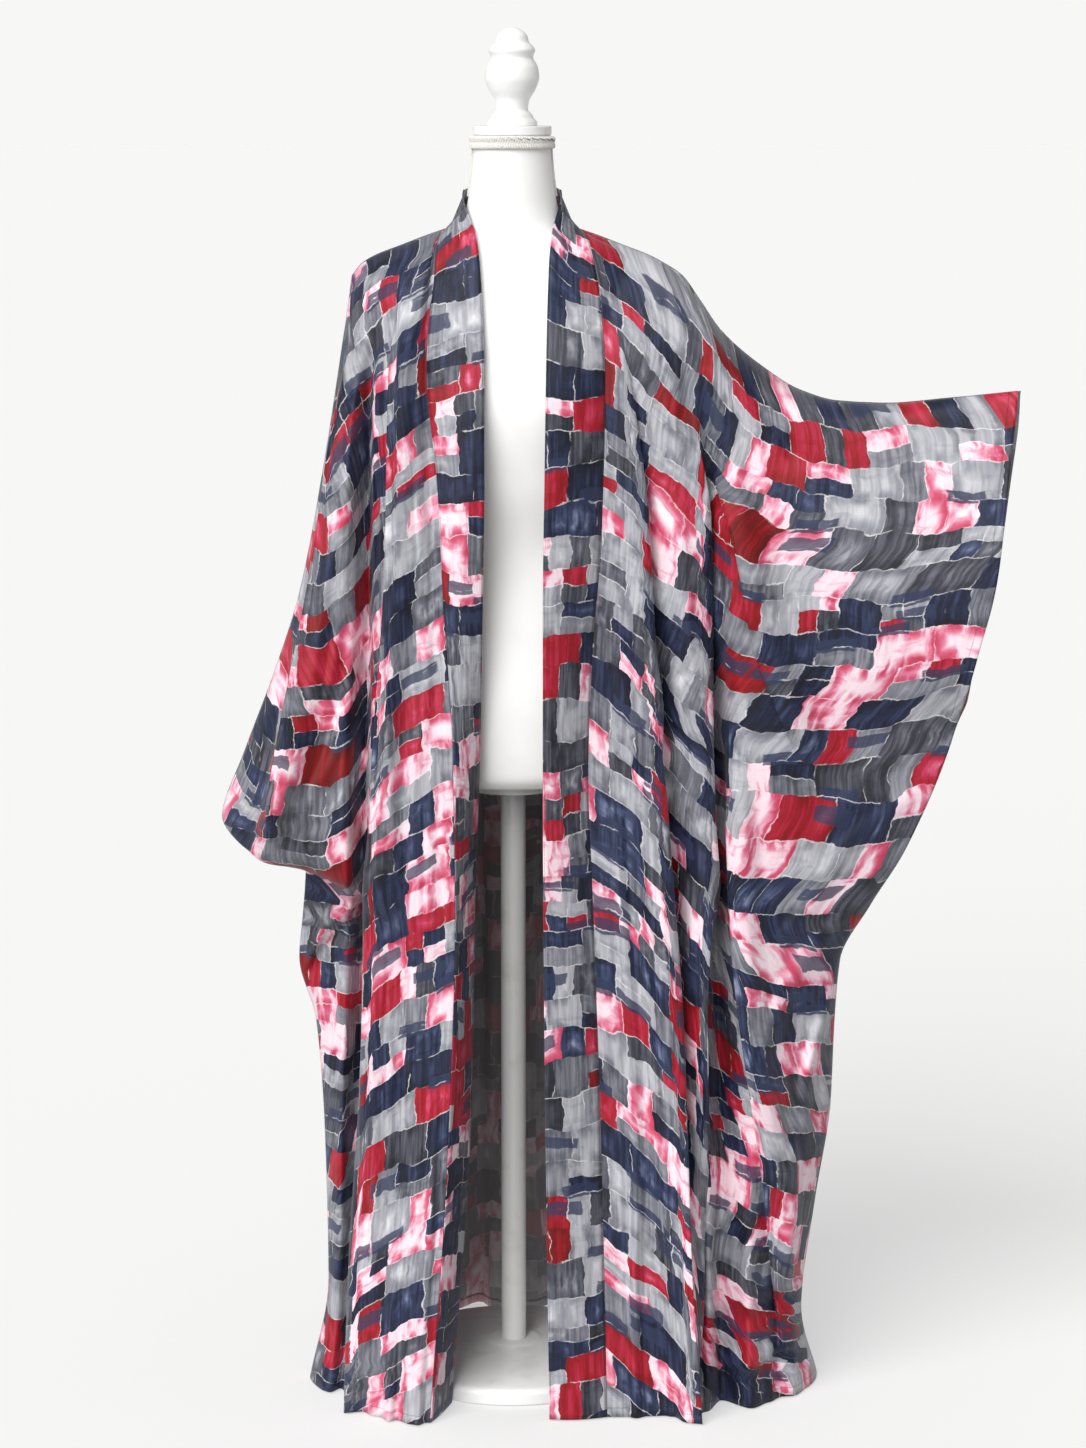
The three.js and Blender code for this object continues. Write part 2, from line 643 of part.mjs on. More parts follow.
// Turns the normals of a net so that the one in a named column's middle points the way given
function faceNormals(normals, column, direction) {
  const middle = Math.floor(normals[column].length / 2);
  if (normals[column][middle].dot(direction) < 0) {
    normals.forEach((line) => line.forEach((normal) => normal.negate()));
  }
}

// Gives two edges that meet the same normals, so that their walls end face to face
function shareNormals(first, second) {
  first.forEach((normal, index) => {
    normal.add(second[index]).normalize();
    second[index].copy(normal);
  });
}

// Draws an edge back by half of the gap, square to the face in which its wall ends
function drawBack(edge, inner, lean) {
  const moves = edge.map((point, index) => {
    const next = edge[Math.min(index + 1, edge.length - 1)];
    const previous = edge[Math.max(index - 1, 0)];
    const square = next.clone().sub(previous).cross(lean[index]).normalize();
    const inward = inner[index].clone().sub(point);
    return square.multiplyScalar(Math.sign(square.dot(inward)) * (seamGap / 2));
  });
  edge.forEach((point, index) => point.add(moves[index]));
}

function netRow(net, index) {
  return net.map((column) => column[index]);
}

function signedVolume(geometry) {
  const place = geometry.getAttribute('position');
  const index = geometry.getIndex();
  const a = new THREE.Vector3();
  const b = new THREE.Vector3();
  const c = new THREE.Vector3();
  let volume = 0;
  for (let corner = 0; corner < index.count; corner += 3) {
    a.fromBufferAttribute(place, index.getX(corner));
    b.fromBufferAttribute(place, index.getX(corner + 1));
    c.fromBufferAttribute(place, index.getX(corner + 2));
    volume += a.dot(b.cross(c));
  }
  return volume;
}

// Joins the points that lie together and turns the faces outwards
function closedSolid(geometry) {
  geometry.deleteAttribute('normal');
  geometry.deleteAttribute('uv');
  const solid = mergeVertices(geometry, joinDistance);
  if (signedVolume(solid) < 0) {
    const index = solid.getIndex();
    for (let corner = 0; corner < index.count; corner += 3) {
      const first = index.getX(corner);
      index.setX(corner, index.getX(corner + 1));
      index.setX(corner + 1, first);
    }
  }
  solid.computeVertexNormals();
  return solid;
}

// Cuts the cells of a box's front side along the same diagonals as those of its rear side, so
// that the two sides of a wall can't pass through each other in a warped cell
function alignDiagonals(geometry) {
  const index = geometry.getIndex();
  const front = geometry.groups[geometry.groups.length - 2];
  for (let corner = front.start; corner < front.start + front.count; corner += 6) {
    const first = index.getX(corner);
    const across = index.getX(corner + 4);
    index.setX(corner + 2, across);
    index.setX(corner + 3, first);
  }
}

// A thin box of cells, laid on a net with half of the wall on each side
function clothWallOn(net, normals, wall) {
  const columns = net.length - 1;
  const rows = net[0].length - 1;
  const geometry = new THREE.BoxGeometry(1, 1, 1, columns, rows, 1);
  alignDiagonals(geometry);
  const place = geometry.getAttribute('position');
  for (let index = 0; index < place.count; index += 1) {
    const column = Math.round((place.getX(index) + 0.5) * columns);
    const line = Math.round((0.5 - place.getY(index)) * rows);
    const side = place.getZ(index);
    const point = net[column][line].clone().addScaledVector(normals[column][line], side * wall);
    place.setXYZ(index, point.x, point.y, point.z);
  }
  return closedSolid(geometry);
}

// A body round the vertical axis, from radii by height
function turned(profile, sides) {
  const points = profile.map(({ radius, z }) => new THREE.Vector2(radius, z));
  const geometry = new THREE.LatheGeometry(points, sides);
  geometry.rotateX(Math.PI / 2);
  return geometry;
}

// Heights of the form's rings: each section, and even steps between sections that lie far apart
function ringHeights() {
  const heights = formSections.slice(1).flatMap(({ z }, section) => {
    const from = formSections[section].z;
    const steps = Math.ceil((z - from) / formRingStep);
    return Array.from({ length: steps }, (unused, step) => mix(from, z, step / steps));
  });
  return [...heights, formTop];
}

// The form's body: a turned unit shape whose rings take the form's sections
function formBody() {
  const profile = [
    { radius: 0, z: formBottom },
    ...ringHeights().map((z) => ({ radius: 1, z })),
    { radius: 0, z: formTop },
  ];
  const geometry = turned(profile, formSides);
  const place = geometry.getAttribute('position');
  for (let index = 0; index < place.count; index += 1) {
    const z = place.getZ(index);
    const reach = Math.hypot(place.getX(index), place.getY(index));
    const angle = Math.atan2(place.getY(index), place.getX(index));
    const power = 2 / read(formSections, 'z', 'square', z);
    const cosine = Math.cos(angle);
    const sine = Math.sin(angle);
    const across = Math.sign(cosine) * Math.abs(cosine) ** power;
    const deep = Math.sign(sine) * Math.abs(sine) ** power;
    place.setXYZ(
      index,
      reach * across * read(formSections, 'z', 'halfWidth', z),
      reach * deep * read(formSections, 'z', 'halfDepth', z) + read(formSections, 'z', 'middle', z),
      z,
    );
  }
  return closedSolid(geometry);
}

function turnedSolid(profile) {
  return closedSolid(turned(profile, turnedSides));
}

function plate(radius, thickness, edge) {
  return turnedSolid([
    { radius: 0, z: 0 },
    { radius: radius - edge, z: 0 },
    { radius, z: edge },
    { radius, z: thickness - edge },
    { radius: radius - edge, z: thickness },
    { radius: 0, z: thickness },
  ]);
}

function material(color, roughness) {
  return new THREE.MeshStandardMaterial({ color, roughness, metalness: 0 });
}

const clothMaterial = material(clothColor, clothRoughness);
const bandMaterial = material(bandColor, clothRoughness);
const formMaterial = material(formColor, formRoughness);
const paintMaterial = material(paintColor, paintRoughness);

const robe = new THREE.Group();

function addPiece(name, geometry, finish, height = 0) {
  const mesh = new THREE.Mesh(geometry, finish);
  mesh.name = name;
  mesh.position.z = height;
  robe.add(mesh);
}

// Cloth: the nets first, then the seams between them, then the walls
const nets = {
  left_front: layerNet(halves.left, 'front'),
  right_front: layerNet(halves.right, 'front'),
  kimono_back: backNet(),
  band_left: bandNet(halves.left),
  band_right: bandNet(halves.right),
};
const normals = Object.fromEntries(
  Object.entries(nets).map(([name, net]) => [name, netNormals(net)]));
const forward = new THREE.Vector3(0, -1, 0);
const backward = new THREE.Vector3(0, 1, 0);
faceNormals(normals.left_front, 1, forward);
faceNormals(normals.right_front, 1, forward);
faceNormals(normals.kimono_back, halves.right.columns.length + neckCells, backward);
faceNormals(normals.band_left, 1, forward);
faceNormals(normals.band_right, 1, forward);

// Rows of the outer edge where front and back meet, above and below the open cuff
function meetingRows(half) {
  return rowShares.map((down, index) => ({ down, index }))
    .filter(({ down }) => read(half.outerEdge, 'down', 'open', down) === 0)
    .map(({ index }) => index);
}

function pick(list, indexes) {
  return indexes.map((index) => list[index]);
}

// Joins one front to the back along the top line and the outer edge, and to its band
function seamHalf(name, bandName, half, backColumn) {
  const net = nets[name];
  const lean = normals[name];
  const back = nets.kimono_back;
  const backLean = normals.kimono_back;
  const band = nets[bandName];
  const bandLean = normals[bandName];
  const last = half.columns.length - 1;
  const cells = half.columns.map((unused, cell) => cell);
  const below = meetingRows(half).filter((index) => index > 0);
  const neck = Array.from({ length: neckCells + 1 }, (unused, cell) => cell);
  const bandRows = rowShares.map((unused, index) => index + neckCells);
  const alongTop = (columns, step) => cells.map((cell) => columns(cell)[step]);
  shareNormals(alongTop((cell) => lean[cell], 0),
    alongTop((cell) => backLean[backColumn(cell)], 0));
  shareNormals(pick(lean[last], below), pick(backLean[backColumn(last)], below));
  shareNormals(lean[0], pick(bandLean[bandCells], bandRows));
  shareNormals(
    neck.map((cell) => backLean[backColumn(cell - neckCells)][0]),
    pick(bandLean[bandCells], neck),
  );
  lean[0][0].copy(bandLean[bandCells][neckCells]);
  drawBack(netRow(net, 0), netRow(net, 1), netRow(lean, 0));
  drawBack(alongTop((cell) => back[backColumn(cell)], 0),
    alongTop((cell) => back[backColumn(cell)], 1),
    alongTop((cell) => backLean[backColumn(cell)], 0));
  drawBack(pick(net[last], below), pick(net[last - 1], below), pick(lean[last], below));
  drawBack(pick(back[backColumn(last)], below), pick(back[backColumn(last - 1)], below),
    pick(backLean[backColumn(last)], below));
  drawBack(net[0], net[1], lean[0]);
  drawBack(band[bandCells], band[bandCells - 1], bandLean[bandCells]);
}

const rightCells = halves.right.columns.length - 1;
const leftColumn = (cell) => rightCells + neckCells * 2 + cell;
const rightColumn = (cell) => rightCells - cell;
shareNormals(netRow(normals.band_left, 0), netRow(normals.band_right, 0));
seamHalf('left_front', 'band_left', halves.left, leftColumn);
seamHalf('right_front', 'band_right', halves.right, rightColumn);
const neckTop = Array.from({ length: 2 * neckCells - 1 }, (unused, cell) => rightCells + 1 + cell);
drawBack(
  neckTop.map((column) => nets.kimono_back[column][0]),
  neckTop.map((column) => nets.kimono_back[column][1]),
  neckTop.map((column) => normals.kimono_back[column][0]),
);
['band_left', 'band_right'].forEach((name) =>
  drawBack(netRow(nets[name], 0), netRow(nets[name], 1), netRow(normals[name], 0)));

addPiece('kimono_back', clothWallOn(nets.kimono_back, normals.kimono_back, clothWall), clothMaterial);
addPiece('left_front', clothWallOn(nets.left_front, normals.left_front, clothWall), clothMaterial);
addPiece('right_front', clothWallOn(nets.right_front, normals.right_front, clothWall), clothMaterial);
addPiece('band_left', clothWallOn(nets.band_left, normals.band_left, bandWall), bandMaterial);
addPiece('band_right', clothWallOn(nets.band_right, normals.band_right, bandWall), bandMaterial);

// The form and its stand
const bottomPlateHeight = formBottom - seamGap - bottomPlateThickness;
const poleBottom = baseProfile[baseProfile.length - 1].z + seamGap;
const poleLength = bottomPlateHeight - seamGap - poleBottom;
const neckPlateHeight = formTop + seamGap;
const finialHeight = neckPlateHeight + neckPlateThickness + seamGap;
addPiece('form_torso', formBody(), formMaterial);
addPiece('neck_plate', plate(neckPlateRadius, neckPlateThickness, neckPlateEdge), paintMaterial,
  neckPlateHeight);
addPiece('neck_finial', turnedSolid(finialProfile), paintMaterial, finialHeight);
addPiece('bottom_plate', plate(bottomPlateRadius, bottomPlateThickness, bottomPlateEdge),
  paintMaterial, bottomPlateHeight);
addPiece('stand_pole', turnedSolid([
  { radius: 0, z: 0 },
  { radius: poleRadius, z: 0 },
  { radius: poleRadius, z: poleLength },
  { radius: 0, z: poleLength },
]), paintMaterial, poleBottom);
addPiece('stand_base', turnedSolid(baseProfile), paintMaterial);

export default robe;
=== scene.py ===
"""Looks for an open batwing kimono robe that hangs on a limbless dress form.

The robe's five sewn pieces are thin cloth shells on the forms of the part's solids, with finer
creases laid one by one. Tables are in millimetres, and a mesh is in metres. The front faces -Y, and
left and right are the wearer's: left is +X, the side of the sleeve that is held out.
"""
import logging
import math
from dataclasses import dataclass, field
from enum import Enum

import bmesh
import bpy
import numpy as np
from bmesh.types import BMesh
from bpy.types import Material, Mesh, Node, NodeSocket, Object, World
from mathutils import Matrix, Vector


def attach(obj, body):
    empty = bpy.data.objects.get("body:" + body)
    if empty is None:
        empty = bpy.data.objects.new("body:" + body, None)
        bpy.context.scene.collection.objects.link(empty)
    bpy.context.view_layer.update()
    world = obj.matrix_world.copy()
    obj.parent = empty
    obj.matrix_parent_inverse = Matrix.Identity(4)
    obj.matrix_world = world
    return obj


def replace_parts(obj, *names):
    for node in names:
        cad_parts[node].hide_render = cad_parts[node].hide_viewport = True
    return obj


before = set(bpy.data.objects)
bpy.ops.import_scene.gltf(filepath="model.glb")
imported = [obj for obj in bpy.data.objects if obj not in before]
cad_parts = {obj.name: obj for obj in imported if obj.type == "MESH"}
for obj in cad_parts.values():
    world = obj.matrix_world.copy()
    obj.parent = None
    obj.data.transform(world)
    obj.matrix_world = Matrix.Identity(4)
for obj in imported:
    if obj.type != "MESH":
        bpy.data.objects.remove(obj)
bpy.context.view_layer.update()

Array = np.ndarray
Pair = tuple[float, float]
Numbers = tuple[float, ...]
Stops = tuple[tuple[float, Numbers], ...]

LOG = logging.getLogger("kimono")
MM = 0.001
BODY = "root"
CHART = "cloth"
MARGIN = "margin"

# Cloth, in millimetres
CLOTH_WALL = 1.2
BAND_WALL = 2.2
HEM_WIDTH = 13.0
HEM_WALL = 0.5
HEM_ROWS = 4
STITCH_INSET = 2.0
STRIP_START = -3

# Clearances from the form, and how they grow below the shoulder line
REST_LIFT = 1.5
LOOSE_LIFT = 7.0
NECK_LIFT = 3.5
LIFT_REACH = 22.0
SHOULDER_RELEASE = 0.25
SLOPE_STEP = 0.5
CLEAR_PASSES = 3

# How the surfaces run between their edges
SHOULDER_HEIGHT = 1470.0
HEM_HEIGHT = 2.0
CHEST_SHARE = 0.115
CHEST_BLEND = 0.15
HEM_FLARE_HEIGHT = 130.0
HEM_FLARE = 10.0
BAND_SWELL = 5.0
SWELL_START = 0.1
MIDDLE_SPREAD = 4.0
NECK_ROLL = 120.0
SEAM_QUIET = 0.1
EDGE_QUIET = 0.12
ROLL_FADE_START = 0.3
ROLL_FADE = 0.2
TOP_HOLD = 2
NECK_HOLD = 6
CUFF_REACH = 8
FREE_EDGE_OPEN = 30.0

# How a fold starts, ends, wanders and leans
FOLD_LEAD = 0.04
FOLD_TAIL = 0.12
FOLD_FADE = 0.22
WANDER_TURNS = 1.4
UNEVEN_TURNS = 2.3
FOLD_PHASE = 37.0
LEAN_WIDTH = 10.0

# Cells of the nets and sides of the turned parts
FRONT_COLUMNS = 140
BACK_COLUMNS = 84
MIDDLE_COLUMNS = 13
BAND_COLUMNS = 14
NECK_ROWS = 26
BODY_ROWS = 196
TOP_SHARES = (0.0, 0.0012, 0.003, 0.006, 0.01, 0.015, 0.021)
FORM_SIDES = 96
FORM_RINGS = 120
TURNED_SIDES = 96
PROFILE_STEPS = 6
WELD = 2e-6
SHARP_ANGLE = 0.6
TINY = 1e-9

# A direction that no braid runs along
ASKEW = (0.31, 0.17, 0.94)

FRONTWARD = (0.0, -1.0, 0.0)
BACKWARD = (0.0, 1.0, 0.0)
TABLE_NAMES = "step radius z"


class Layer(Enum):
    """The two layers of cloth in each half of the robe."""

    FRONT = "front"
    BACK = "back"


class Draw(float, Enum):
    """Numbers that set one random pattern apart from the next."""

    EVEN = 0.0
    WEAVE = 1.0
    QUICK_WAVE = 1.7
    BAR_ROW = 1.9
    BAR_SIDE = 2.6
    DENT = 3.0
    BLOCK = 3.3
    CLOUD = 3.9
    ROW = 4.2
    DRY = 4.4
    ROUGH = 5.5
    SLOW_WAVE = 6.1
    BAR = 7.7
    PATCH = 8.3
    ROW_SIDE = 8.8
    SIDE_WAVE = 8.9
    PART = 9.1


def smooth(value: Array) -> Array:
    """Soft step from 0 to 1."""
    part = np.clip(value, 0.0, 1.0)
    return part * part * (3.0 - 2.0 * part)


def mix(a: Array, b: Array, share: Array) -> Array:
    """The value that lies a share of the way from a to b."""
    return a + (b - a) * share


def quarter_round(value: Array) -> Array:
    """Height of a quarter circle, 0 at its start and level at its end."""
    left = 1.0 - np.clip(value, 0.0, 1.0)
    return np.sqrt(1.0 - left * left)


def bell(value: Array) -> Array:
    """Bell-shaped rise, 1 in the middle and 0 from one width away."""
    return (1.0 + np.cos(np.pi * np.minimum(1.0, np.abs(value)))) / 2.0


def points_of(x: Array, y: Array, z: Array) -> Array:
    """Joins three arrays of coordinates into one array of points."""
    return np.stack(np.broadcast_arrays(x, y, z), axis=-1).astype(float)


def unit(vectors: Array) -> Array:
    """The vectors at a length of one."""
    return vectors / np.maximum(np.linalg.norm(vectors, axis=-1, keepdims=True), TINY)


@dataclass(frozen=True)
class Table:
    """Rows of numbers with named columns, read along the first column on a smooth curve."""

    names: str
    rows: tuple[Numbers, ...]

    def column(self, name: str) -> Array:
        """All the numbers of one column."""
        return np.array([row[self.names.split().index(name)] for row in self.rows], float)

    def last(self, name: str) -> float:
        """The last number of one column."""
        return float(self.column(name)[-1])

    def read(self, name: str, place: Array) -> Array:
        """Values of one column at places along the first, level at each turning point.

        Args:
            name: the column that is wanted.
            place: places along the first column.

        Returns:
            The values, in the shape of the places.
        """
        keys = self.column(self.names.split()[0])
        values = self.column(name)
        rise = np.diff(values) / np.diff(keys)
        turning = rise[:-1] * rise[1:] <= 0.0
        total = np.where(turning, 1.0, rise[:-1] + rise[1:])
        inner = np.where(turning, 0.0, 2.0 * rise[:-1] * rise[1:] / total)
        slopes = np.concatenate(([rise[0]], inner, [rise[-1]]))
        at = np.clip(place, keys[0], keys[-1])
        row = np.clip(np.searchsorted(keys, at, side="left") - 1, 0, len(keys) - 2)
        span = keys[row + 1] - keys[row]
        u = (at - keys[row]) / span
        u2 = u * u
        u3 = u2 * u
        return (
            values[row] * (2 * u3 - 3 * u2 + 1)
            + slopes[row] * span * (u3 - 2 * u2 + u)
            + values[row + 1] * (3 * u2 - 2 * u3)
            + slopes[row + 1] * span * (u3 - u2)
        )


@dataclass(frozen=True)
class Fold:
    """A ridge, or a trough where its depth is below zero, along a bowed line of the front view.

    The wall rises over the width before the line and falls over the width after it, counted
    along +X for an upright line. The line wanders to each side, its depth is uneven, its tuck is
    the width of cloth that it hides, and its crest leans over along +X.
    """

    from_x: float
    from_z: float
    to_x: float
    to_z: float
    bow: float
    before: float
    after: float
    start: float
    end: float
    wander: float = 0.0
    uneven: float = 0.0
    tuck: float = 0.0
    lean: float = 0.0

    def spot(self, x: Array, z: Array) -> tuple[Array, Array, Array]:
        """Where places of the front view lie beside the fold.

        Args:
            x: places across.
            z: heights.

        Returns:
            Shares of the way along the fold, distances after its line, and how far it is there.
        """
        run_x = self.to_x - self.from_x
        run_z = self.to_z - self.from_z
        length = math.hypot(run_x, run_z)
        along = ((x - self.from_x) * run_x + (z - self.from_z) * run_z) / (length * length)
        held = np.clip(along, 0.0, 1.0)
        wave = self.wander * np.sin(2.0 * np.pi * (WANDER_TURNS * along + self.from_x / FOLD_PHASE))
        line = self.bow * 4.0 * held * (1.0 - held) + wave
        off = ((z - self.from_z) * run_x - (x - self.from_x) * run_z) / length - line
        fade_out = smooth((1.0 + FOLD_TAIL - along) / FOLD_FADE) if self.to_z > HEM_HEIGHT else 1.0
        return along, off, smooth((along + FOLD_LEAD) / FOLD_FADE) * fade_out

    def depth(self, x: Array, z: Array) -> Array:
        """How far the fold stands proud at places of the front view.

        Args:
            x: places across.
            z: heights.

        Returns:
            The rise at each place.
        """
        along, off, present = self.spot(x, z)
        width = np.where(off < 0.0, self.before, self.after)
        beat = 1.0 + self.uneven * np.sin(2.0 * np.pi * (UNEVEN_TURNS * along - self.from_x / FOLD_PHASE))
        return mix(self.start, self.end, np.clip(along, 0.0, 1.0)) * bell(off / width) * present * beat

    def pull(self, x: Array, z: Array) -> Array:
        """How far the fold's crest leans over the trough beside it, along +X."""
        _, off, present = self.spot(x, z)
        return self.lean * bell(off / LEAN_WIDTH) * present

    def taken(self, x: Array, z: Array, outward: float) -> Array:
        """Cloth that the fold hides before places of the front view, counted outwards.

        Args:
            x: places across.
            z: heights.
            outward: 1 where the cloth runs out along +X, and -1 where it runs the other way.

        Returns:
            The hidden widths.
        """
        _, off, present = self.spot(x, z)
        steep = min(self.before, self.after)
        side = -1.0 if self.before < self.after else 1.0
        return self.tuck * smooth(outward * (off - side * steep / 2.0) / steep + 0.5) * present


def fold_table(*rows: Numbers) -> tuple[Fold, ...]:
    """Folds from rows whose columns are the fields of a Fold, in order."""
    return tuple(Fold(*row) for row in rows)


def fold_depth(folds: tuple[Fold, ...], x: Array, z: Array) -> Array:
    """How far a set of folds stands proud at places of the front view."""
    return sum((fold.depth(x, z) for fold in folds), np.zeros(np.shape(x)))


def fold_lean(folds: tuple[Fold, ...], x: Array, z: Array) -> Array:
    """How far a set of folds leans along +X at places of the front view."""
    return sum((fold.pull(x, z) for fold in folds if fold.lean != 0.0), np.zeros(np.shape(x)))


def hidden_cloth(folds: tuple[Fold, ...], x: Array, z: Array, outward: float) -> Array:
    """Width of cloth that a set of folds hides before places of the front view."""
    return sum((fold.taken(x, z, outward) for fold in folds if fold.tuck > 0.0), np.zeros(np.shape(x)))


@dataclass(frozen=True)
class SleeveStep:
    """The step over the robe's side under the hanging sleeve's lower edge."""

    down: float = 0.6
    rise: float = 0.007
    inner_x: float = -182.0
    blend: float = 20.0
    share: float = 0.6
    hem_share: float = 0.15

    def at(self, x: Array, down: Array) -> Array:
        """Share by which the front stands back.

        Args:
            x: places across.
            down: shares of the way down.

        Returns:
            The share at each place.
        """
        beside = smooth((self.inner_x + self.blend / 2.0 - x) / self.blend)
        below = np.clip((down - self.down) / self.rise, 0.0, 1.0)
        fade = smooth((down - self.down) / (1.0 - self.down))
        return mix(self.share, self.hem_share, fade) * beside * below


@dataclass(frozen=True)
class Ring:
    """One edge of the band behind the neck, from the shoulder to its middle."""

    radius_x: float
    radius_y: float
    start_y: float
    start_z: float
    back_z: float

    def at(self, sign: int, turn: Array) -> Array:
        """Points of the ring.

        Args:
            sign: 1 on the left half and -1 on the right one.
            turn: 0 at the shoulder seam and 1 at the middle of the back.

        Returns:
            The points.
        """
        angle = turn * np.pi / 2.0
        return points_of(
            sign * self.radius_x * np.cos(angle),
            self.start_y + self.radius_y * np.sin(angle),
            mix(self.start_z, self.back_z, np.sin(angle)),
        )


@dataclass(frozen=True)
class Half:
    """One half of the robe: the lines of its cut as they hang, its folds and its print."""

    sign: int
    side: str
    cuff_show: float
    top_line: Table
    outer_edge: Table
    band_seam: Table
    band_edge: Table
    roll: Table
    cut: Pair
    cut_area: float
    folds: dict[Layer, tuple[Fold, ...]]
    upper_rows: Table
    lower_rows: Table
    step: SleeveStep | None = None


FORM = Table("z half_width half_depth middle square", (
    (780, 150, 96, 2, 2.3), (792, 162, 106, 2, 2.3), (880, 168, 112, 3, 2.3), (980, 155, 104, 2, 2.3),
    (1080, 126, 90, -2, 2.3), (1160, 140, 100, -6, 2.3), (1250, 163, 112, -6, 2.4),
    (1330, 180, 106, 0, 2.4), (1390, 186, 92, 4, 2.4), (1412, 184, 84, 5, 2.3),
    (1424, 176, 79, 5, 2.3), (1432, 162, 75, 5, 2.2), (1444, 131, 70, 5, 2.2), (1456, 97, 64, 5, 2.1),
    (1468, 71, 58, 4, 2), (1490, 58, 54, 3, 2), (1520, 52, 51, 1, 2), (1560, 48, 48, 0, 2),
    (1582, 47, 47, 0, 2),
))
FORM_BOTTOM = 780.0
FORM_TOP = 1582.0

BACK_DEPTH = Table("down y", (
    (0, 84), (0.05, 100), (0.115, 110), (0.25, 116), (0.42, 126), (0.65, 150), (1, 192),
))
NECK_SEAM = Ring(radius_x=76, radius_y=81, start_y=3, start_z=1470, back_z=1448)
NECK_EDGE = Ring(radius_x=57, radius_y=60, start_y=5, start_z=1515, back_z=1521)

RAISED_FRONT_FOLDS = fold_table(
    (146, 1150, 224, 0, 0, 36, 20, 5, 26), (163, 1150, 241, 0, 2, 20, 20, -4, -12),
    (200, 1200, 243, 0, 16, 26, 20, 5, 20), (212, 1240, 262, 0, 20, 22, 36, -9, -36),
    (250, 1190, 366, 820, 0, 46, 56, 10, 10), (232, 1160, 346, 740, -8, 38, 46, 8, 12),
    (262, 640, 362, 150, 10, 34, 66, 10, 24), (300, 1190, 520, 860, 20, 60, 70, 6, 5),
    (134, 1340, 172, 872, 0, 34, 7, 9, 15, 2, 0.15, 26, 13),
    (143, 1320, 181, 872, 0, 8, 24, -8, -16, 2, 0.15),
    (170, 930, 222, 0, 0, 30, 8, 15, 9, 3, 0.15, 26, 14),
    (180, 930, 232, 0, 0, 8, 24, -16, -12, 3, 0.15),
    (229, 1260, 247, 600, 6, 10, 38, -20, -34, 3, 0.15, 32),
    (218, 1250, 238, 600, 6, 26, 9, 5, 8, 3, 0.15, 0, 14),
    (246, 700, 238, 90, -5, 10, 42, -32, -34, 3, 0.15, 32),
    (237, 700, 229, 80, -5, 26, 9, 8, 8, 3, 0.15, 0, 14),
    (252, 1200, 347, 850, -6, 13, 42, 9, 15, 4, 0.2, 0, -10),
    (266, 860, 348, 100, -8, 13, 34, 12, 18, 4, 0.2, 18, -12),
    (462, 668, 366, 396, -8, 13, 22, 8, 13, 3, 0.2), (482, 650, 384, 380, -8, 16, 15, -5, -9, 3, 0.2),
    (360, 366, 371, 90, 0, 9, 13, -6, -11, 2, 0.2), (197, 1422, 196, 1236, 7, 16, 9, 5, 7, 1, 0.1),
    (258, 1340, 340, 1196, 0, 11, 18, -4, -5, 2, 0.2), (236, 40, 398, 70, 6, 12, 18, 9, 15, 2, 0.2),
    (232, 92, 392, 122, 8, 16, 24, -9, -14, 3, 0.2), (122, 1425, 137, 880, 3, 9, 13, 2, 3.5, 3, 0.3),
    (148, 1428, 160, 1090, 4, 9, 12, 2.2, 3, 2, 0.3),
    (176, 1418, 208, 1150, 4, 11, 14, 2.6, 4, 3, 0.3),
    (206, 1398, 252, 1120, -5, 12, 16, 3, 4.5, 3, 0.25),
    (236, 1350, 300, 1060, -6, 15, 18, 3, 4, 4, 0.3),
    (270, 1312, 372, 1010, -8, 18, 22, 3, 3.5, 5, 0.3),
    (330, 1272, 452, 960, -8, 22, 26, 2.6, 3.2, 6, 0.3),
    (400, 1250, 520, 930, -8, 24, 30, 2.4, 3, 6, 0.3),
    (480, 1250, 566, 1010, -4, 22, 26, 2, 2.6, 5, 0.3),
    (592, 1235, 470, 1120, 6, 14, 18, 2.2, 1.2, 3, 0.3),
    (560, 900, 380, 730, -16, 20, 26, 3, 6, 5, 0.25),
    (520, 800, 340, 600, -18, 18, 24, 3.5, 6.5, 5, 0.25),
    (470, 690, 316, 470, -14, 18, 24, 3, 6, 4, 0.25), (414, 560, 352, 300, -6, 16, 22, 3, 7, 4, 0.25),
    (128, 860, 158, 0, 4, 11, 13, 2.5, 7.5, 4, 0.25), (186, 700, 204, 0, 3, 10, 11, -2.5, -6, 3, 0.2),
    (286, 560, 300, 0, 8, 16, 18, 3, 9, 5, 0.25), (322, 420, 336, 0, 6, 13, 15, -3, -8, 4, 0.25),
    (352, 360, 362, 0, 4, 12, 14, 3, 8, 3, 0.25), (300, 96, 384, 52, 3, 12, 14, 3, 5, 2, 0.2),
    (140, 60, 236, 34, 3, 10, 10, 2.5, 3.5, 2, 0.2),
)
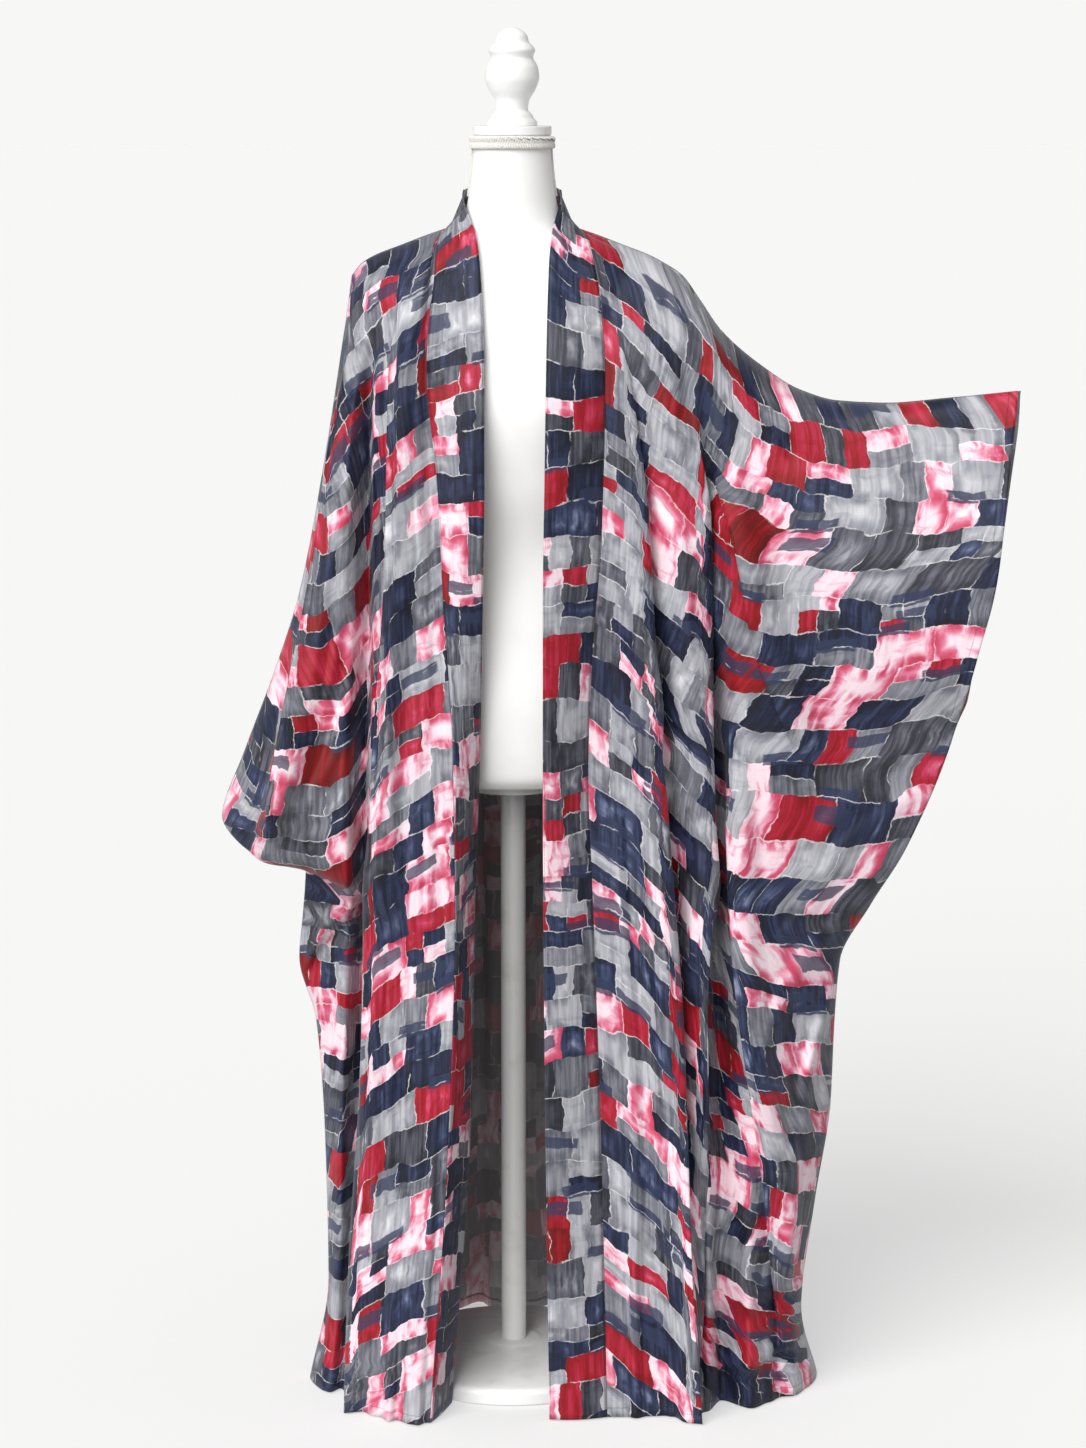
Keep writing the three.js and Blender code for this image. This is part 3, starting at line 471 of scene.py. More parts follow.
RAISED_BACK_FOLDS = fold_table(
    (44, 1300, 62, 0, 0, 38, 34, 3, 24), (26, 1290, 40, 0, 3, 8, 30, 5, 12, 4, 0.2, 24, -9),
    (98, 1310, 136, 0, 5, 28, 8, 5, 13, 4, 0.2, 26, 11),
    (174, 1320, 268, 0, 10, 8, 30, 7, 13, 5, 0.2, 28, -11),
    (218, 1300, 356, 300, 12, 28, 9, 7, 12, 5, 0.2, 26, 11),
    (290, 1230, 474, 770, 10, 10, 32, 6, 8, 5, 0.2, 18, -8), (112, 1280, 150, 0, 4, 30, 36, 4, 30),
    (160, 1240, 236, 0, 8, 34, 28, 5, 28), (190, 1260, 322, 0, 22, 36, 40, 6, 24),
    (220, 1300, 400, 700, 10, 40, 44, 7, 12), (300, 1230, 520, 840, 14, 46, 54, 7, 6),
    (20, 1330, 26, 0, 2, 13, 15, 2, 8, 5, 0.3), (84, 1350, 104, 0, 4, 13, 15, 2, 7, 5, 0.3),
    (136, 1360, 190, 0, 6, 13, 16, 2.4, 8, 5, 0.3), (172, 1360, 280, 0, 14, 15, 18, 2.4, 8, 6, 0.3),
    (210, 1340, 352, 120, 16, 18, 20, 2.6, 7, 6, 0.3), (252, 1310, 440, 740, 12, 20, 24, 3, 5, 6, 0.3),
    (340, 1250, 540, 900, 10, 24, 30, 2.6, 3, 7, 0.3),
    (430, 1245, 575, 1000, 6, 22, 30, 2.2, 2.6, 6, 0.3),
    (560, 900, 390, 720, -16, 20, 26, 3, 5, 5, 0.25), (500, 770, 330, 520, -14, 20, 26, 3, 6, 5, 0.25),
    (40, 70, 180, 40, 3, 12, 12, 2.5, 3.5, 2, 0.2),
)
HANGING_FRONT_FOLDS = fold_table(
    (-130, 1400, -203, 0, 8, 18, 36, 6, 18), (-169, 1330, -218, 0, 12, 26, 20, -16, -34),
    (-112, 1330, -126, 0, 0, 20, 22, 3, 9), (-192, 1390, -309, 724, 12, 18, 58, 10, 50),
    (-196, 592, -272, 552, -8, 36, 30, 14, 6),
    (-131, 1410, -160, 765, 3, 7, 28, 8, 12, 2, 0.15, 24, -12),
    (-161, 800, -198, 0, 0, 7, 26, 11, 13, 3, 0.15, 26, -14),
    (-169, 1350, -181, 730, -3, 26, 9, -16, -28, 2, 0.15, 26),
    (-180, 790, -205, 40, 0, 24, 9, -26, -20, 3, 0.15),
    (-199, 1310, -296, 738, 3, 7, 28, 6, 10, 2, 0.15, 20, -10),
    (-186, 636, -264, 546, -10, 13, 8, 15, 9, 2, 0.15),
    (-192, 614, -262, 522, -8, 8, 16, -12, -8, 2, 0.15), (-118, 34, -198, 54, 4, 12, 10, 5, 7, 2, 0.2),
    (-108, 1428, -104, 900, -3, 9, 12, 2, 4, 3, 0.3),
    (-150, 1424, -152, 860, -3, 10, 12, 2.6, 5, 3, 0.3),
    (-182, 1400, -226, 900, 4, 10, 14, 3, 5, 3, 0.25),
    (-200, 1360, -262, 930, 4, 10, 12, 2.4, 4, 3, 0.25),
    (-214, 1200, -282, 800, 4, 10, 14, -2.5, -4.5, 3, 0.25),
    (-250, 1120, -330, 790, 3, 10, 14, 2.6, 5, 4, 0.25),
    (-196, 900, -270, 700, -6, 12, 16, 4, 6, 4, 0.2), (-186, 780, -240, 690, -5, 10, 12, 3, 4, 3, 0.2),
    (-96, 900, -112, 0, 4, 9, 11, 2, 6, 4, 0.25), (-148, 820, -158, 0, 4, 10, 12, 3, 8, 4, 0.25),
    (-176, 600, -186, 0, 3, 9, 10, -2, -5, 3, 0.2), (-214, 540, -230, 0, 3, 9, 11, 2.5, 5, 3, 0.2),
    (-240, 470, -246, 60, 2, 8, 10, -2, -4, 3, 0.2), (-130, 70, -196, 40, 3, 10, 10, 2.5, 3.5, 2, 0.2),
)
HANGING_BACK_FOLDS = fold_table(
    (-40, 1300, -54, 0, 0, 34, 38, 3, 22), (-36, 1290, -46, 0, 3, 30, 8, 5, 12, 4, 0.2, 24, 9),
    (-100, 1310, -124, 0, 5, 8, 28, 5, 13, 4, 0.2, 26, -11),
    (-150, 1350, -192, 0, 6, 28, 8, 7, 13, 4, 0.2, 26, 11),
    (-188, 1350, -268, 770, 8, 8, 26, 6, 10, 4, 0.2, 20, -9), (-104, 1280, -132, 0, 4, 32, 30, 4, 28),
    (-156, 1330, -196, 0, 8, 26, 34, 5, 26), (-190, 1370, -288, 730, 4, 24, 46, 8, 22),
    (-18, 1330, -24, 0, 2, 13, 15, 2, 8, 5, 0.3), (-72, 1340, -92, 0, 4, 13, 15, 2, 8, 5, 0.3),
    (-128, 1370, -164, 0, 5, 12, 15, 2.4, 8, 5, 0.3),
    (-172, 1380, -226, 300, 6, 13, 16, 2.6, 7, 5, 0.3),
    (-188, 1340, -250, 780, 4, 12, 15, 2.6, 5, 4, 0.3),
    (-216, 1180, -312, 760, 4, 13, 18, 2.6, 5, 4, 0.3),
    (-40, 70, -170, 40, 3, 12, 12, 2.5, 3.5, 2, 0.2),
)

RAISED = Half(
    sign=1,
    side="left",
    cuff_show=8.0,
    top_line=Table("along x y z", (
        (0, 76, 3, 1470), (0.06, 108, 2, 1459), (0.115, 138, 1, 1447.5), (0.17, 168, 0, 1436),
        (0.21, 189, -2, 1425), (0.25, 210, -6, 1411), (0.29, 232, -14, 1381), (0.34, 258, -24, 1344),
        (0.43, 306, -43, 1303), (0.52, 354, -62, 1274), (0.61, 401, -82, 1262), (0.7, 449, -100, 1261),
        (0.855, 531, -128, 1270), (1, 610, -150, 1280),
    )),
    outer_edge=Table("down x z y open round blunt", (
        (0, 610, 1280, -150, 14, 1.6, 1.0), (0.085, 598, 1174, -157, 42, 1.6, 1.0),
        (0.18, 585, 1054, -160, 64, 1.6, 1.0), (0.26, 563, 955, -153, 62, 1.7, 1.1),
        (0.35, 538, 845, -140, 0, 1.8, 1.3), (0.45, 488, 707, -110, 0, 1.9, 1.5),
        (0.51, 448, 631, -85, 0, 2.0, 1.7), (0.575, 413, 554, -60, 0, 2.1, 1.9),
        (0.65, 408, 473, -50, 0, 2.2, 2.0), (0.73, 405, 366, -45, 0, 2.2, 2.0),
        (0.82, 387, 240, -48, 0, 2.2, 2.0), (0.925, 370, 96, -56, 0, 2.2, 2.0),
        (1, 392, 2, -45, 0, 2.2, 2.0),
    )),
    band_seam=Table("down x y", (
        (0, 76, 3), (0.02, 88, -36), (0.05, 104, -74), (0.115, 113, -108), (0.25, 109, -120),
        (0.35, 98, -126), (0.45, 93, -132), (0.56, 99, -146), (0.77, 110, -170), (1, 118, -196),
    )),
    band_edge=Table("down x y above", (
        (0, 57, 5, 45), (0.02, 50, -28, 43), (0.05, 45, -68, 34), (0.115, 42, -118, 14),
        (0.2, 40, -146, 2), (0.31, 38, -158, 0), (0.47, 38, -170, 0), (0.69, 40, -190, 0),
        (1, 46, -214, 0),
    )),
    roll=Table("along reach", (
        (0, 120), (0.17, 115), (0.3, 70), (0.5, 34), (0.75, 20), (1, 16),
    )),
    cut=(0.66, 1.50),
    cut_area=0.66,
    folds={Layer.FRONT: RAISED_FRONT_FOLDS, Layer.BACK: RAISED_BACK_FOLDS},
    upper_rows=Table("x drop", (
        (0, 0), (76, 6), (110, 24), (180, 70), (250, 118), (330, 166), (410, 204), (490, 226),
        (570, 234), (640, 232), (760, 218),
    )),
    lower_rows=Table("x drop", ((0, 0), (76, 6), (110, 24), (200, 86), (300, 150), (420, 212), (700, 284))),
)

HANGING = Half(
    sign=-1,
    side="right",
    cuff_show=0.0,
    top_line=Table("along x y z", (
        (0, -76, 3, 1470), (0.27, -108, 2, 1459), (0.53, -138, 1, 1447.5), (0.78, -168, 0, 1436),
        (0.93, -186, -2, 1425.5), (1, -198, -5, 1411),
    )),
    outer_edge=Table("down x z y open round blunt", (
        (0, -198, 1411, -5, 0, 2.2, 2.0), (0.05, -208, 1343, -10, 0, 2.2, 2.0),
        (0.155, -234, 1182, -16, 0, 2.2, 1.9), (0.26, -266, 1020, -24, 0, 2.2, 1.8),
        (0.325, -298, 920, -32, 0, 2.2, 1.7), (0.385, -336, 821, -42, 0, 2.2, 1.6),
        (0.45, -365, 737, -52, 0, 2.2, 1.4), (0.48, -342, 709, -50, 56, 2.2, 1.2),
        (0.515, -306, 692, -51, 106, 2.1, 1.1), (0.56, -278, 682, -45, 94, 2.0, 1.1),
        (0.6, -262, 672, -26, 0, 1.7, 1.2), (0.63, -264, 640, -20, 0, 1.4, 1.2),
        (0.66, -268, 598, -14, 0, 1.4, 1.2), (0.7, -273, 545, -10, 0, 1.4, 1.2),
        (0.76, -252, 462, -12, 0, 1.5, 1.3), (0.84, -242, 320, -22, 0, 1.6, 1.4),
        (0.93, -238, 130, -44, 0, 1.8, 1.5), (1, -262, 2, -64, 0, 1.8, 1.5),
    )),
    band_seam=Table("down x y", (
        (0, -76, 3), (0.02, -84, -36), (0.05, -93, -72), (0.115, -103, -106), (0.21, -90, -130),
        (0.31, -83, -144), (0.43, -72, -168), (0.56, -70, -182), (0.77, -80, -200), (1, -103, -216),
    )),
    band_edge=Table("down x y above", (
        (0, -57, 5, 45), (0.02, -47, -28, 43), (0.05, -39, -68, 34), (0.115, -33, -118, 14),
        (0.2, -33, -140, 2), (0.31, -36, -138, 0), (0.43, -40, -128, 0), (0.56, -47, -126, 0),
        (0.74, -52, -142, 0), (1, -78, -154, 0),
    )),
    roll=Table("along reach", ((0, 120), (0.8, 115), (1, 100))),
    cut=(0.38, 1.50),
    cut_area=0.44,
    folds={Layer.FRONT: HANGING_FRONT_FOLDS, Layer.BACK: HANGING_BACK_FOLDS},
    upper_rows=Table("x drop", ((0, 0), (76, 4), (110, 18), (200, 66), (250, 98), (365, 176))),
    lower_rows=Table("x drop", ((0, 0), (76, 4), (110, 18), (200, 62), (300, 110), (365, 140))),
    step=SleeveStep(),
)

NECK_PLATE = Table(TABLE_NAMES, (
    (0, 0, 0), (1, 47, 0), (2, 48.5, 1.5), (3, 48.5, 9.5), (4, 47, 11), (5, 0, 11),
))
BOTTOM_PLATE = Table(TABLE_NAMES, (
    (0, 0, 0), (1, 60, 0), (2, 62, 2), (3, 62, 12), (4, 60, 14), (5, 0, 14),
))
FINIAL = Table(TABLE_NAMES, (
    (0, 0, 0), (1, 31, 0), (2, 31, 0), (3, 31, 3), (4, 30, 6), (5, 27, 9), (6, 25, 13),
    (7, 19.5, 20), (8, 21, 30), (9, 29, 44), (10, 33.5, 58), (11, 32, 70), (12, 26, 82),
    (13, 26.5, 85), (14, 28.5, 91), (15, 25, 97), (16, 21, 101), (17, 18.5, 109), (18, 12.5, 115),
    (19, 5, 118.4), (20, 0, 119),
))
BASE = Table(TABLE_NAMES, (
    (0, 0, 0), (1, 162, 0), (2, 165, 3), (3, 165, 14), (4, 161, 20), (5, 125, 26), (6, 40, 32),
    (7, 30, 34), (8, 0, 34),
))
SEAM_GAP = 0.3
POLE_RADIUS = 16.0
BOTTOM_PLATE_LEVEL = FORM_BOTTOM - SEAM_GAP - BOTTOM_PLATE.last("z")
POLE_LEVEL = BASE.last("z") + SEAM_GAP
NECK_PLATE_LEVEL = FORM_TOP + SEAM_GAP
FINIAL_LEVEL = NECK_PLATE_LEVEL + NECK_PLATE.last("z") + SEAM_GAP


def form_reach(points: Array) -> Array:
    """How far outside the form's skin points are.

    Args:
        points: the points.

    Returns:
        Shares of the section's size, 1 on the skin.
    """
    z = np.clip(points[..., 2], FORM_BOTTOM, FORM_TOP)
    across = np.abs(points[..., 0]) / FORM.read("half_width", z)
    deep = np.abs(points[..., 1] - FORM.read("middle", z)) / FORM.read("half_depth", z)
    square = FORM.read("square", z)
    return (across ** square + deep ** square) ** (1.0 / square)


def clear_of_form(points: Array, clearance: Array) -> Array:
    """Moves points of the cloth out until they lie clear of the form.

    Args:
        points: the points.
        clearance: how far each keeps from the form's skin.

    Returns:
        The moved points.
    """
    moved = points.copy()
    beside = moved[..., 2] >= FORM_BOTTOM - LOOSE_LIFT
    for _ in range(CLEAR_PASSES):
        reach = form_reach(moved)
        slope = np.stack([
            (form_reach(moved + SLOPE_STEP * axis) - reach) / SLOPE_STEP for axis in np.eye(3)
        ], axis=-1)
        steep = np.maximum(np.linalg.norm(slope, axis=-1), TINY)
        short = np.where(beside, clearance - (reach - 1.0) / steep, 0.0)
        moved += slope / steep[..., None] * np.maximum(short, 0.0)[..., None]
    return moved


def crossed(net: Array) -> Array:
    """Normals of a net at its points, longer where its cells are larger."""
    return np.cross(np.gradient(net, axis=0), np.gradient(net, axis=1))


def faces_out(net: Array, outward: tuple[float, float, float]) -> bool:
    """Whether a net's normals point, over all, to the side that the outward direction names."""
    return float(crossed(net).sum(axis=(0, 1)) @ np.array(outward)) > 0.0


def walked(net: Array) -> Array:
    """Distance walked over the net from its first column, along each row."""
    steps = np.linalg.norm(np.diff(net, axis=0), axis=-1)
    return np.concatenate((np.zeros((1, net.shape[1])), np.cumsum(steps, axis=0)))


class RobeShape:
    """The robe's surfaces, as nets of points in millimetres."""

    def place(self, half: Half, across: Array, down: Array) -> tuple[Array, Array]:
        """Front view places, ruled from the band seam to the outer edge and bent to the top line.

        Args:
            half: the half of the robe.
            across: shares of the way from the band seam to the outer edge.
            down: shares of the way from the shoulder line to the hem.

        Returns:
            The places across and the heights.
        """
        top = half.top_line
        ends = {name: top.column(name)[[0, -1]] for name in "xz"}
        hold = (1.0 - down) ** TOP_HOLD
        bend_x = top.read("x", across) - mix(*ends["x"], across)
        bend_z = top.read("z", across) - mix(*ends["z"], across)
        seam_x = half.band_seam.read("x", down)
        seam_z = mix(SHOULDER_HEIGHT, HEM_HEIGHT, down)
        x = mix(seam_x, half.outer_edge.read("x", down), across) + bend_x * hold
        z = mix(seam_z, half.outer_edge.read("z", down), across) + bend_z * hold
        return x, z

    def panel(self, half: Half, layer: Layer, across: Array, down: Array) -> Array:
        """Points of the front or back layer of a half.

        Args:
            half: the half of the robe.
            layer: front or back.
            across: shares of the way from the band seam to the outer edge.
            down: shares of the way from the shoulder line to the hem.

        Returns:
            The points.
        """
        x, z = self.place(half, across, down)
        front = layer is Layer.FRONT
        side = -1.0 if front else 1.0
        edge = half.outer_edge
        opened = edge.read("open", down)
        outer_y = edge.read("y", down) + side * opened / 2.0
        start_y = self.start_depth(half, front, across, down)
        turn = (1.0 - across ** edge.read("round", down)) ** (1.0 / edge.read("blunt", down))
        edge_hold = mix(smooth((1.0 - across) / EDGE_QUIET), 1.0, smooth(opened / FREE_EDGE_OPEN))
        hold = edge_hold * (smooth(across / SEAM_QUIET) if front else 1.0)
        proud = fold_depth(half.folds[layer], x, z) * hold
        lean = fold_lean(half.folds[layer], x, z) * hold
        back = half.step.at(x, down) if front and half.step else 0.0
        flare = HEM_FLARE * np.clip(1.0 - z / HEM_FLARE_HEIGHT, 0.0, 1.0) ** 2
        depth = mix(outer_y, start_y, turn * (1.0 - back)) + side * (proud + flare * turn)
        below = half.top_line.read("z", across) - z
        reach = half.roll.read("reach", across)
        lower = mix(quarter_round(below / reach), 1.0, smooth((down - ROLL_FADE_START) / ROLL_FADE))
        rolled = mix(1.0 if front else lower, lower, smooth(across / SEAM_QUIET))
        rolled = np.where(down == 0.0, 0.0, rolled)
        y = mix(half.top_line.read("y", across), depth, rolled)
        shown = 0.0 if front else half.cuff_show * smooth(opened / FREE_EDGE_OPEN) * across ** CUFF_REACH
        lift = mix(REST_LIFT, LOOSE_LIFT, smooth(below / LIFT_REACH))
        return clear_of_form(points_of(x + shown + lean * smooth(below / reach), y, z), lift)

    def start_depth(self, half: Half, front: bool, across: Array, down: Array) -> Array:
        """Depth from which a layer turns back towards the outer edge.

        Args:
            half: the half of the robe.
            front: whether it is the front layer.
            across: shares of the way from the band seam to the outer edge.
            down: shares of the way down.

        Returns:
            The depths.
        """
        if not front:
            return BACK_DEPTH.read("y", down)
        chest = half.band_seam.read("y", np.maximum(down, CHEST_SHARE))
        return mix(half.band_seam.read("y", down), chest, smooth(across / CHEST_BLEND))

    def neck_clearance(self, turn: Array) -> Array:
        """Clearance of the neck seam, least where it crosses the shoulder."""
        return mix(REST_LIFT, NECK_LIFT, smooth(turn / SHOULDER_RELEASE))

    def back_middle(self, half: Half, turn: Array, down: Array) -> Array:
        """Points of the back between its middle and the line under the neck seam.

        Args:
            half: the half of the robe.
            turn: 0 at the line under the neck seam and 1 at the middle.
            down: shares of the way down.

        Returns:
            The points.
        """
        side = self.panel(half, Layer.BACK, np.zeros(np.shape(down)), down)
        neck = NECK_SEAM.at(half.sign, turn)
        flat_x = half.sign * np.abs(side[..., 0]) * (1.0 - turn)
        z = mix(SHOULDER_HEIGHT, HEM_HEIGHT, down) + (neck[..., 2] - SHOULDER_HEIGHT) * (1.0 - down)
        x = mix(flat_x, neck[..., 0], (1.0 - down) ** NECK_HOLD)
        depth = BACK_DEPTH.read("y", down) + MIDDLE_SPREAD * turn * down
        roll = np.where(down == 0.0, 0.0, quarter_round((neck[..., 2] - z) / NECK_ROLL))
        y = mix(neck[..., 1], depth, roll) + fold_depth(half.folds[Layer.BACK], x, z)
        y = np.where(down == 0.0, neck[..., 1], y)
        lift = mix(self.neck_clearance(turn), LOOSE_LIFT, smooth((neck[..., 2] - z) / LIFT_REACH))
        return clear_of_form(points_of(x, y, z), lift)

    def band(self, half: Half, over: Array, down: Array) -> Array:
        """Points of the front band.

        Args:
            half: the half of the robe.
            over: 0 at the band's free edge and 1 at its seam.
            down: shares of the way down.

        Returns:
            The points.
        """
        edge = half.band_edge
        seam = self.panel(half, Layer.FRONT, np.zeros(np.shape(down)), down)
        height = mix(SHOULDER_HEIGHT, HEM_HEIGHT, down) + edge.read("above", down)
        point = mix(points_of(edge.read("x", down), edge.read("y", down), height), seam, over[..., None])
        point[..., 1] -= BAND_SWELL * np.sin(np.pi * over) * smooth(down / SWELL_START)
        return clear_of_form(point, mix(LOOSE_LIFT, REST_LIFT, over))

    def band_neck(self, half: Half, over: Array, turn: Array) -> Array:
        """Points of the band behind the neck, turned as a ring is."""
        point = mix(NECK_EDGE.at(half.sign, turn), NECK_SEAM.at(half.sign, turn), over[..., None])
        return clear_of_form(point, self.neck_clearance(turn))

    def rows(self) -> Array:
        """Shares of the way down at the rows of cells, closest under the shoulder line."""
        return np.concatenate((TOP_SHARES[:-1], np.linspace(TOP_SHARES[-1], 1.0, BODY_ROWS)))

    def grid(self, columns: int) -> list[Array]:
        """Shares across and down at the points of a panel's net."""
        return np.meshgrid(np.linspace(0.0, 1.0, columns), self.rows(), indexing="ij")

    def front_net(self, half: Half) -> Array:
        """The whole front of a half, from the band seam to the outer edge."""
        return self.panel(half, Layer.FRONT, *self.grid(FRONT_COLUMNS))

    def back_half_net(self, half: Half) -> Array:
        """Half of the back, from its middle to the outer edge.

        Args:
            half: the half of the robe.

        Returns:
            The net.
        """
        turn, down = np.meshgrid(np.linspace(1.0, 0.0, MIDDLE_COLUMNS)[:-1], self.rows(), indexing="ij")
        outer = self.panel(half, Layer.BACK, *self.grid(BACK_COLUMNS))
        return np.concatenate((self.back_middle(half, turn, down), outer))

    def back_net(self) -> Array:
        """The whole back, from the wearer's right edge to the left one."""
        right = self.back_half_net(HANGING)[1:][::-1]
        return np.concatenate((right, self.back_half_net(RAISED)))

    def band_net(self, half: Half) -> Array:
        """A band from the middle of the neck down to the hem.

        Args:
            half: the half of the robe.

        Returns:
            The net.
        """
        turns = np.linspace(1.0, 0.0, NECK_ROWS)[:-1]
        neck = self.band_neck(half, *np.meshgrid(np.linspace(0.0, 1.0, BAND_COLUMNS), turns, indexing="ij"))
        return np.concatenate((neck, self.band(half, *self.grid(BAND_COLUMNS))), axis=1)


def placed(name: str, mesh: Mesh, *finishes: Material) -> Object:
    """Puts a mesh with its finishes in the scene.

    Args:
        name: the object's name.
        mesh: the mesh.
        finishes: the finishes, in the order of the mesh's slots.

    Returns:
        The object.
    """
    for finish in finishes:
        mesh.materials.append(finish)
    piece = bpy.data.objects.new(name, mesh)
    bpy.context.scene.collection.objects.link(piece)
    return piece


def mesh_of(name: str, bm: BMesh) -> Mesh:
    """Makes a mesh from one in work, and lets that one go.

    Args:
        name: the mesh's name.
        bm: the mesh in work.

    Returns:
        The mesh.
    """
    mesh = bpy.data.meshes.new(name)
    bm.to_mesh(mesh)
    bm.free()
    return mesh


def grid_index(place: Array, count: int) -> Array:
    """Number of a grid line from its place between -1 and 1."""
    return np.rint((place + 1.0) / 2.0 * (count - 1)).astype(int)


@dataclass(frozen=True)
class Sheet:
    """What a net of cloth needs to become a piece: its print chart, margins and wall."""

    net: Array
    chart: Array
    margin: Array
    outward: tuple[float, float, float]
    wall: float

    def build(self, name: str, finishes: tuple[Material, ...], slot: str) -> Object:
        """Makes the cloth as a closed thin shell on the part's body.

        Args:
            name: the piece's name.
            finishes: the right side's finish and the wrong side's.
            slot: not used.

        Returns:
            The finished piece.
        """
        columns, rows = self.net.shape[:2]
        bm = bmesh.new()
        bmesh.ops.create_grid(bm, x_segments=columns - 1, y_segments=rows - 1, size=1.0)
        if not faces_out(self.net, self.outward):
            bmesh.ops.reverse_faces(bm, faces=bm.faces)
        mesh = mesh_of(name, bm)
        self.lay(mesh)
        piece = placed(name, mesh, *finishes)
        shell = piece.modifiers.new("wall", "SOLIDIFY")
        shell.thickness = self.wall * MM
        shell.offset = 0.0
        shell.material_offset = len(finishes) - 1
        shell.use_rim = True
        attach(piece, BODY)
        LOG.info("%s built", name)
        return piece

    def lay(self, mesh: Mesh) -> None:
        """Moves a flat grid's points onto the net and gives them their chart and margins.

        Args:
            mesh: the flat grid, from -1 to 1 each way.
        """
        flat = np.empty(len(mesh.vertices) * 3)
        mesh.vertices.foreach_get("co", flat)
        flat = flat.reshape(-1, 3)
        spot = tuple(grid_index(flat[:, axis], self.net.shape[axis]) for axis in (0, 1))
        mesh.vertices.foreach_set("co", (self.net[spot] * MM).ravel())
        corners = np.empty(len(mesh.loops), dtype=int)
        mesh.loops.foreach_get("vertex_index", corners)
        layer = mesh.uv_layers.new(name=CHART)
        layer.data.foreach_set("uv", (self.chart[spot] * MM)[corners].ravel())
        edge = mesh.attributes.new(MARGIN, "FLOAT", "POINT")
        edge.data.foreach_set("value", (self.margin[spot] * MM).astype(np.float32))
        mesh.polygons.foreach_set("use_smooth", np.ones(len(mesh.polygons), dtype=bool))
        mesh.update()


class Value:
    """A number that a material works out; each sign of arithmetic on it lays out one node."""

    def __init__(self, board: "NodeBoard", socket: NodeSocket) -> None:
        """Keeps the socket that gives the number, and its board."""
        self.board = board
        self.socket = socket

    def __add__(self, other: "Value | float") -> "Value":
        """The sum."""
        return self.board.math("ADD", self, other)

    def __sub__(self, other: "Value | float") -> "Value":
        """The difference."""
        return self.board.math("SUBTRACT", self, other)

    def __rsub__(self, other: float) -> "Value":
        """What is left of a plain number."""
        return self.board.math("SUBTRACT", other, self)

    def __mul__(self, other: "Value | float") -> "Value":
        """The product."""
        return self.board.math("MULTIPLY", self, other)

    def __truediv__(self, other: "Value | float") -> "Value":
        """The quotient."""
        return self.board.math("DIVIDE", self, other)

    def floor(self) -> "Value":
        """The whole number below."""
        return self.board.math("FLOOR", self)

    def fract(self) -> "Value":
        """What lies above the whole number."""
        return self.board.math("FRACT", self)

    def over(self, limit: float) -> "Value":
        """1 above a limit and 0 below it."""
        return self.board.math("GREATER_THAN", self, limit)

    def under(self, limit: float) -> "Value":
        """1 below a limit and 0 above it."""
        return self.board.math("LESS_THAN", self, limit)

    def least(self, other: "Value") -> "Value":
        """The smaller of two numbers."""
        return self.board.math("MINIMUM", self, other)

    def near_side(self) -> "Value":
        """How near a share of a cell lies to either side of the cell."""
        return self.least(1.0 - self)

    def scaled(self, factor: float, shift: float) -> "Value":
        """The number times a factor and shifted, in one node."""
        return self.board.math("MULTIPLY_ADD", self, factor, shift)

    def ramp(self, low: float, high: float) -> "Value":
        """Soft step from 0 at low to 1 at high."""
        fed = {0: self, 1: low, 2: high}
        return self.board.take(self.board.node("MapRange", fed, interpolation_type="SMOOTHSTEP"))


@dataclass(frozen=True)
class Grain:
    """A cloudy noise: how fast it runs each way, the draw that sets it apart and its detail."""

    scale: Numbers
    draw: float = Draw.EVEN
    detail: float = 2.0


